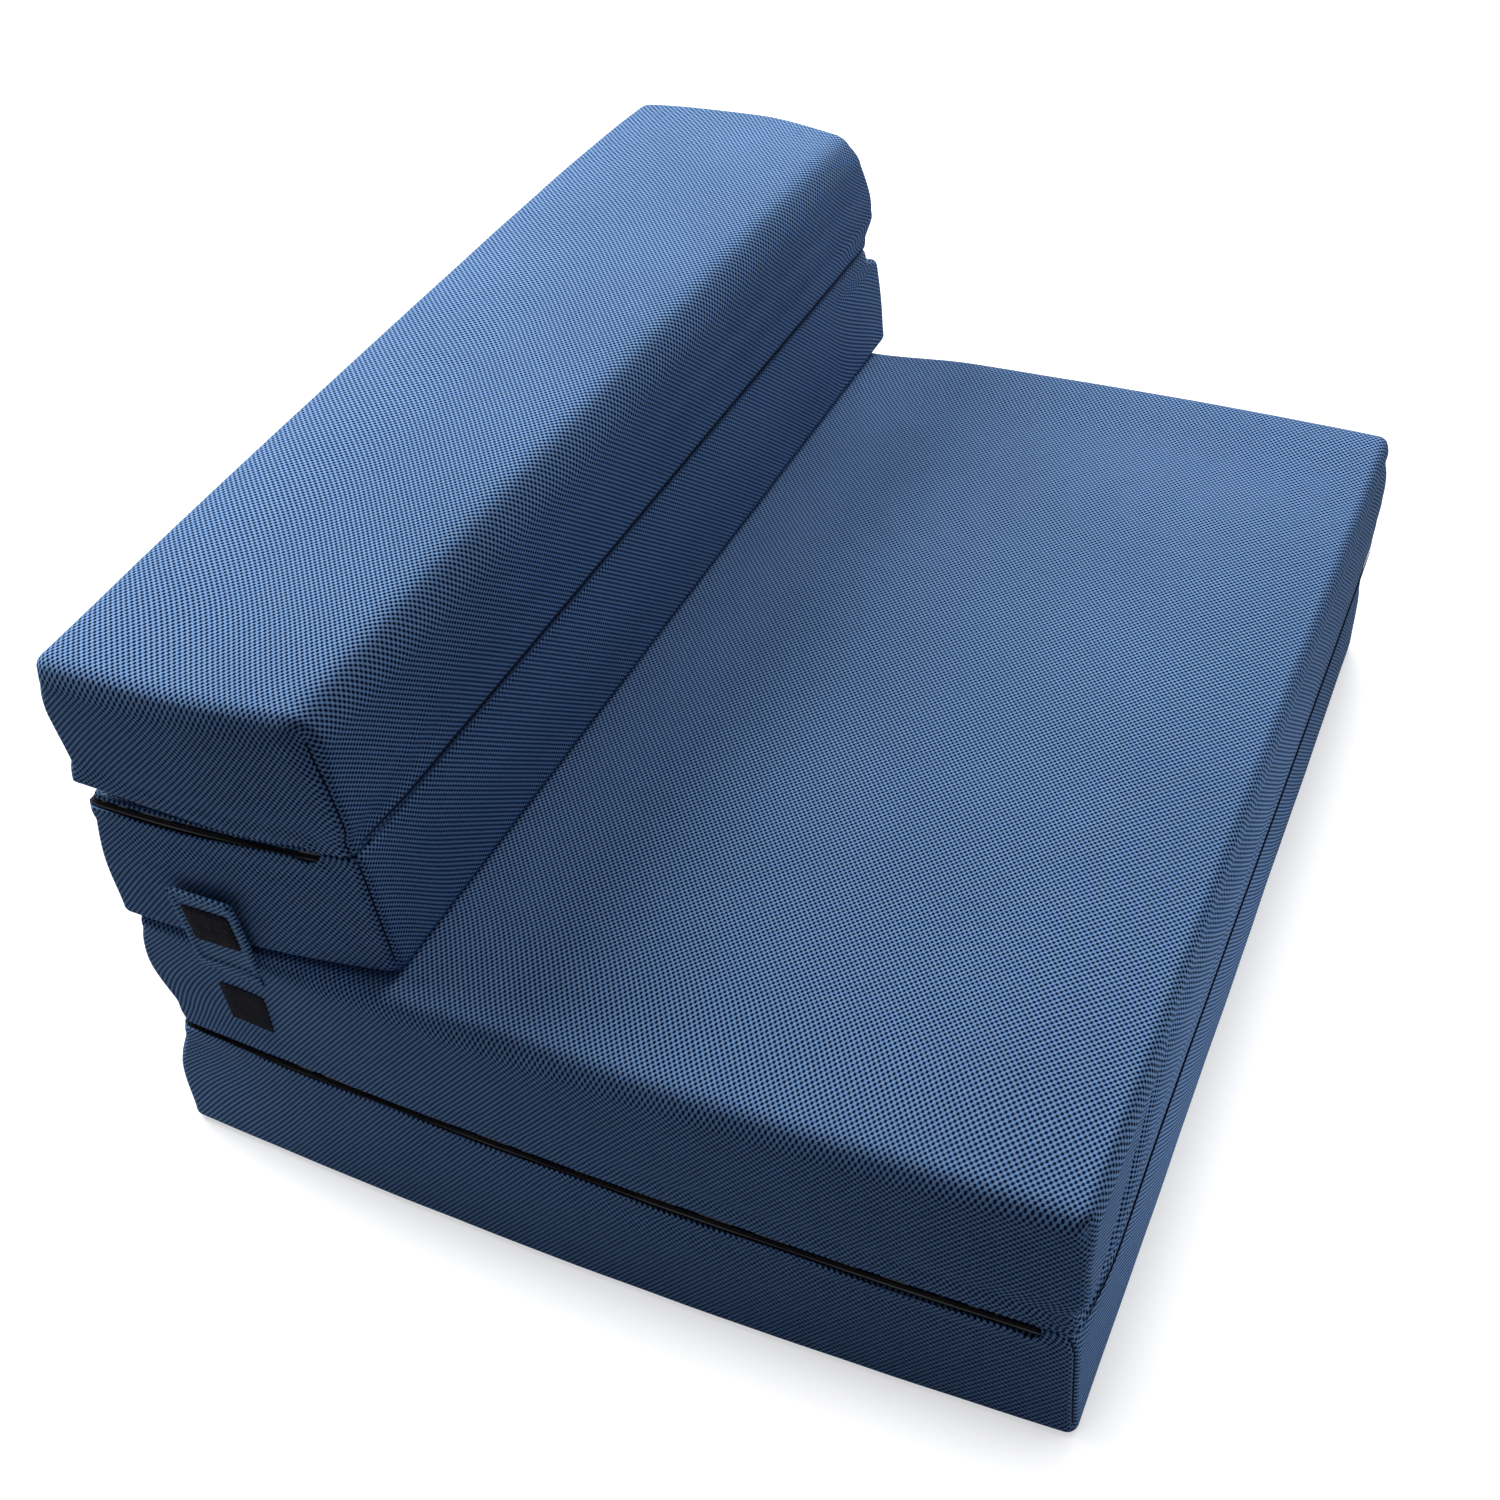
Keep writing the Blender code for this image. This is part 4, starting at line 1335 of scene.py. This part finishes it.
# %% Panels
PANEL_POINTS = 72
LEAST_CORNER = 0.3 * MM


def panel(width, length, corner, profile):
    """Rings of a rounded rectangle, one per (inset, height) of the profile, as flat places."""
    turn = np.linspace(0, 2 * np.pi, PANEL_POINTS + 1)
    reach = np.maximum(np.abs(np.cos(turn)), np.abs(np.sin(turn)))
    square = np.stack([np.cos(turn) / reach, np.sin(turn) / reach], -1)
    half = np.array([width, length]) / 2
    rings = []
    for inset, height in profile:
        size = half - inset
        radius = max(corner - inset, LEAST_CORNER)
        radius = min(radius, *size) if min(size) > 0 else 0
        size = np.maximum(size, 0)
        sharp = square * size
        inner = np.clip(sharp, radius - size, size - radius)
        away = sharp - inner
        away /= np.maximum(np.linalg.norm(away, axis=-1, keepdims=True), 1e-9)
        rings.append(np.column_stack([inner + away * radius, np.full(turn.size, height)]))
    return np.stack(rings)


def bound_edge(thick, rim, raised, half):
    """A profile from the middle of one face, over a raised bound edge, to the middle of the
    other. half is the way from the middle line to the rim."""
    steps = [half * share for share in (1, 0.85, 0.7, 0.55, 0.4)]
    face = [(step, thick / 2) for step in steps if step > 1.3 * rim]
    edge = [(rim * 1.05, thick / 2), (rim * 0.9, thick / 2 + raised),
            (rim * 0.25, thick / 2 + raised), (0.02 * rim, thick / 4)]
    top = face + edge
    return top + [(inset, -height) for inset, height in reversed(top)]


def laid(name, flat, surface, finish, body, node):
    """A panel whose flat places are put on a surface."""
    points = surface(flat[..., 0], flat[..., 1], flat[..., 2])
    piece = sewn(name, [(points, flat[..., :2])], finish, body)
    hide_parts(node)
    return piece


# %% [markdown]
# ## Fastening tabs
#
# At each end, a doubled flap of mesh with a bound edge is sewn under the seat's top edge. It
# carries a hook patch, and folds down on the loop patch below it when the mattress is laid
# out. The flap leans out a little. The loop patch and the flap's root follow the cushion.

# %% Tabs
TAB = dict(width=60 * MM, length=85 * MM, thick=2.4 * MM, lean=math.radians(4), corner=5 * MM)
# Across and up to the line that a tab turns about.
TAB_AXIS = (492.12 * MM, 223.62 * MM)
TAB_SWAY = 2 * MM
TAB_BINDING = dict(rim=6 * MM, raised=1.1 * MM)
PATCH = dict(width=42 * MM, length=40 * MM, corner=2 * MM)
PATCH_EDGE = dict(thick=1.2 * MM, rim=2.6 * MM, raised=-0.2 * MM)
ROOT_LENGTH = 11 * MM
ROOT_EDGE = dict(thick=3 * MM, rim=2.5 * MM, raised=-0.4 * MM)
ROOT_OUT = 1.2 * MM
seat = cushions["seat_upper"]


def on_tab(side, centre_y, start):
    """A flat place beside a tab: along the end by its first length, up the tab by its second.
    The tab leans out, and sways by the square of the length up it."""

    def surface(first, second, out):
        up = second + start
        sway = out - TAB_SWAY + TAB_SWAY * (up / TAB["length"]) ** 2
        x = TAB_AXIS[0] + up * math.sin(TAB["lean"]) + sway
        z = TAB_AXIS[1] + up * math.cos(TAB["lean"])
        return np.stack([side * x, centre_y + first, z], -1)

    return surface


def on_border(side, centre_y, centre_z):
    """A flat place on the seat cushion's end: along it and up it, from a centre."""

    def surface(first, second, out):
        along = centre_y + first - seat.middle
        height = centre_z + second - seat.inner_z
        return upholstered(seat, side * seat.half_width, along, height, out)

    return surface


def patch_panel(raised):
    """A hook or loop patch, flat, with its middle raised over what it is sewn to."""
    flat = panel(**PATCH, profile=bound_edge(**PATCH_EDGE, half=PATCH["length"] / 2))
    flat[..., 2] += raised + PATCH_EDGE["thick"] / 2
    return flat


for side, end in ((-1, "near"), (1, "far")):
    tab, body = f"{end}_tab", f"{end}_flap"
    centre_y = middle_of(tab, 1)
    binding = bound_edge(TAB["thick"], **TAB_BINDING, half=TAB["width"] / 2)
    flat = panel(TAB["width"], TAB["length"], TAB["corner"], binding)
    flap = laid(f"{tab}_flap", flat, on_tab(side, centre_y, TAB["length"] / 2), tab_mesh,
                body, tab)

    up_tab = middle_of(f"{tab}_hook", 2) - TAB_AXIS[1]
    laid(f"{tab}_hook_patch", patch_panel(TAB["thick"] / 2), on_tab(side, centre_y, up_tab),
         hook_pile, body, f"{tab}_hook")
    on_end = on_border(side, centre_y, middle_of(f"{tab}_loop", 2))
    laid(f"{tab}_loop_patch", patch_panel(0), on_end, loop_pile, "seat_upper",
         f"{tab}_loop")

    root = bound_edge(**ROOT_EDGE, half=ROOT_LENGTH / 2)
    flat = panel(TAB["width"], ROOT_LENGTH, 2 * MM, root)
    flat[..., 2] += ROOT_OUT
    on_end = on_border(side, centre_y, middle_of(f"{tab}_root", 2) - MM)
    laid(f"{tab}_sewn_root", flat, on_end, tab_mesh, "seat_upper", f"{tab}_root")

# %% [markdown]
# ## Sliders and pulls
#
# These small metal parts have the right shape already, so they only get their paint.

# %% Painted nodes
painted = [f"{name}_{part}" for name in cushions for part in ("zip_slider", "zip_pull")]
for node in painted:
    for slot in bpy.data.objects[node].material_slots:
        slot.material = slider_paint
print("painted:", len(painted), "sliders and pulls")

# %% [markdown]
# ## Room to fold
#
# Folded right over, the crowned top of the backrest lies on the crowned seat, and cushions
# that bulge come to lie end to end. Real foam gives way there. Here each piece of a cushion
# only gets a mesh of its own, and the fold that would press it is printed with the share it
# would keep.

# %% Give
for name, joint, axis, keep in (
    ("seat_lower", "back_fold", (0, 1, 0), 0.955),
    ("seat_upper", "seat_fold", (0, 1, 0), 0.973),
    ("back_lower", "back_fold", (0, 1, 0), 0.91),
    ("back_upper", "backrest_fold", (0, 0, 1), 0.82),
):
    cushion = cushions[name]
    for piece in pieces[name]:
        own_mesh(piece)
    print(name, "gives way on", joint, "to", keep)

# %% [markdown]
# ## Floor and sky
#
# The floor is pale and plain. Only the camera, a mirror or glass sees the world and the floor
# as white, so that no extra light falls on the cloth from them. The floor keeps a soft shadow
# where the sky is hidden from it.

# %% Floor and world
SHADOW_REACH = 80 * MM
SHADOW = (0.58, 0.58, 0.59, 1)
OPEN_FLOOR = (0.95, 0.95, 0.95, 1)
BOUNCING_FLOOR = (0.5, 0.5, 0.5, 1)
BLACK = (0.0, 0.0, 0.0, 1)
WHITE = (1, 1, 1, 1)
SKY = (0.82, 0.96, 1.2, 1)
SKY_STRENGTH = 0.075
FLOOR_HALF = 6.0
FLOOR_DROP = 0.5 * MM


def seen_directly(nodes):
    """1 for what the camera sees, also in a mirror or through glass, and 0 for bounced light."""
    camera_ray, mirrored, through_glass = (
        nodes.add("ShaderNodeLightPath", output=f"Is {kind} Ray")
        for kind in ("Camera", "Glossy", "Transmission")
    )
    return camera_ray.most(mirrored).most(through_glass)


def pale_floor():
    """White to the camera, with a soft shadow left in it, and a mid grey to bounced light."""
    finish = Finish("pale_floor", Roughness=0.9, Specular_IOR_Level=0.0, Emission_Strength=1.0)
    reach = {"Distance": SHADOW_REACH}
    open_sky = finish.add("ShaderNodeAmbientOcclusion", {"samples": 8}, reach, "AO")
    shown = finish.mixed(open_sky.ramp(0.4, 0.95), SHADOW, OPEN_FLOOR)
    glow = finish.mixed(seen_directly(finish), BLACK, shown)
    finish.paint(Base_Color=BOUNCING_FLOOR, Emission_Color=glow)
    return finish.material


def world_light(strength):
    """An even sky that lights with the given strength and looks white to the camera."""
    world = bpy.data.worlds.new("studio_sky")
    world.use_nodes = True
    bpy.context.scene.world = world
    sky = Nodes(world.node_tree)
    shown = sky.tree.nodes["Background"]
    seen = seen_directly(sky)
    sky.feed(shown.inputs["Strength"], strength + seen * (1 - strength))
    sky.feed(shown.inputs["Color"], sky.mixed(seen, SKY, WHITE))


ground = np.linspace(-FLOOR_HALF, FLOOR_HALF, 3)
floor_grid = np.stack(np.meshgrid(ground, ground, [-FLOOR_DROP]), -1)[:, :, 0]
floor = sewn("floor", [(floor_grid, floor_grid[..., :2])], pale_floor())
world_light(SKY_STRENGTH)

# %% [markdown]
# ## Lamps
#
# A wide lamp behind lights the top faces, one on the right models the covers, and a weak card
# low in front lifts the front's shade. A large lamp close by gives the soft shadows of a studio.


# %% Soft lamps
def soft_lamp(name, place, aim, size, power):
    """An oval lamp, wide and high by its two sizes, that the camera doesn't see."""
    lamp = bpy.data.lights.new(name, "AREA")
    lamp.shape = "ELLIPSE"
    lamp.size, lamp.size_y = size
    lamp.energy = power
    shown = bpy.data.objects.new(name, lamp)
    shown.visible_camera = False
    direction = Vector(aim) - Vector(place)
    turn = direction.to_track_quat("-Z", "Y").to_matrix().to_4x4()
    shown.matrix_world = Matrix.Translation(place) @ turn
    bpy.context.scene.collection.objects.link(shown)
    print(name, "of", power, "W")


soft_lamp("rear_lamp", place=(0.0, 1.7, 1.9), aim=(0, 0, 0.2), size=(1.6, 1.6), power=57)
soft_lamp("right_lamp", place=(1.8, -0.1, 1.8), aim=(0, 0, 0.2), size=(1.4, 1.4), power=35)
soft_lamp("front_card", place=(-0.17, -0.8, 0.06), aim=(-0.17, -0.38, 0.14),
          size=(0.6, 0.08), power=0.85)
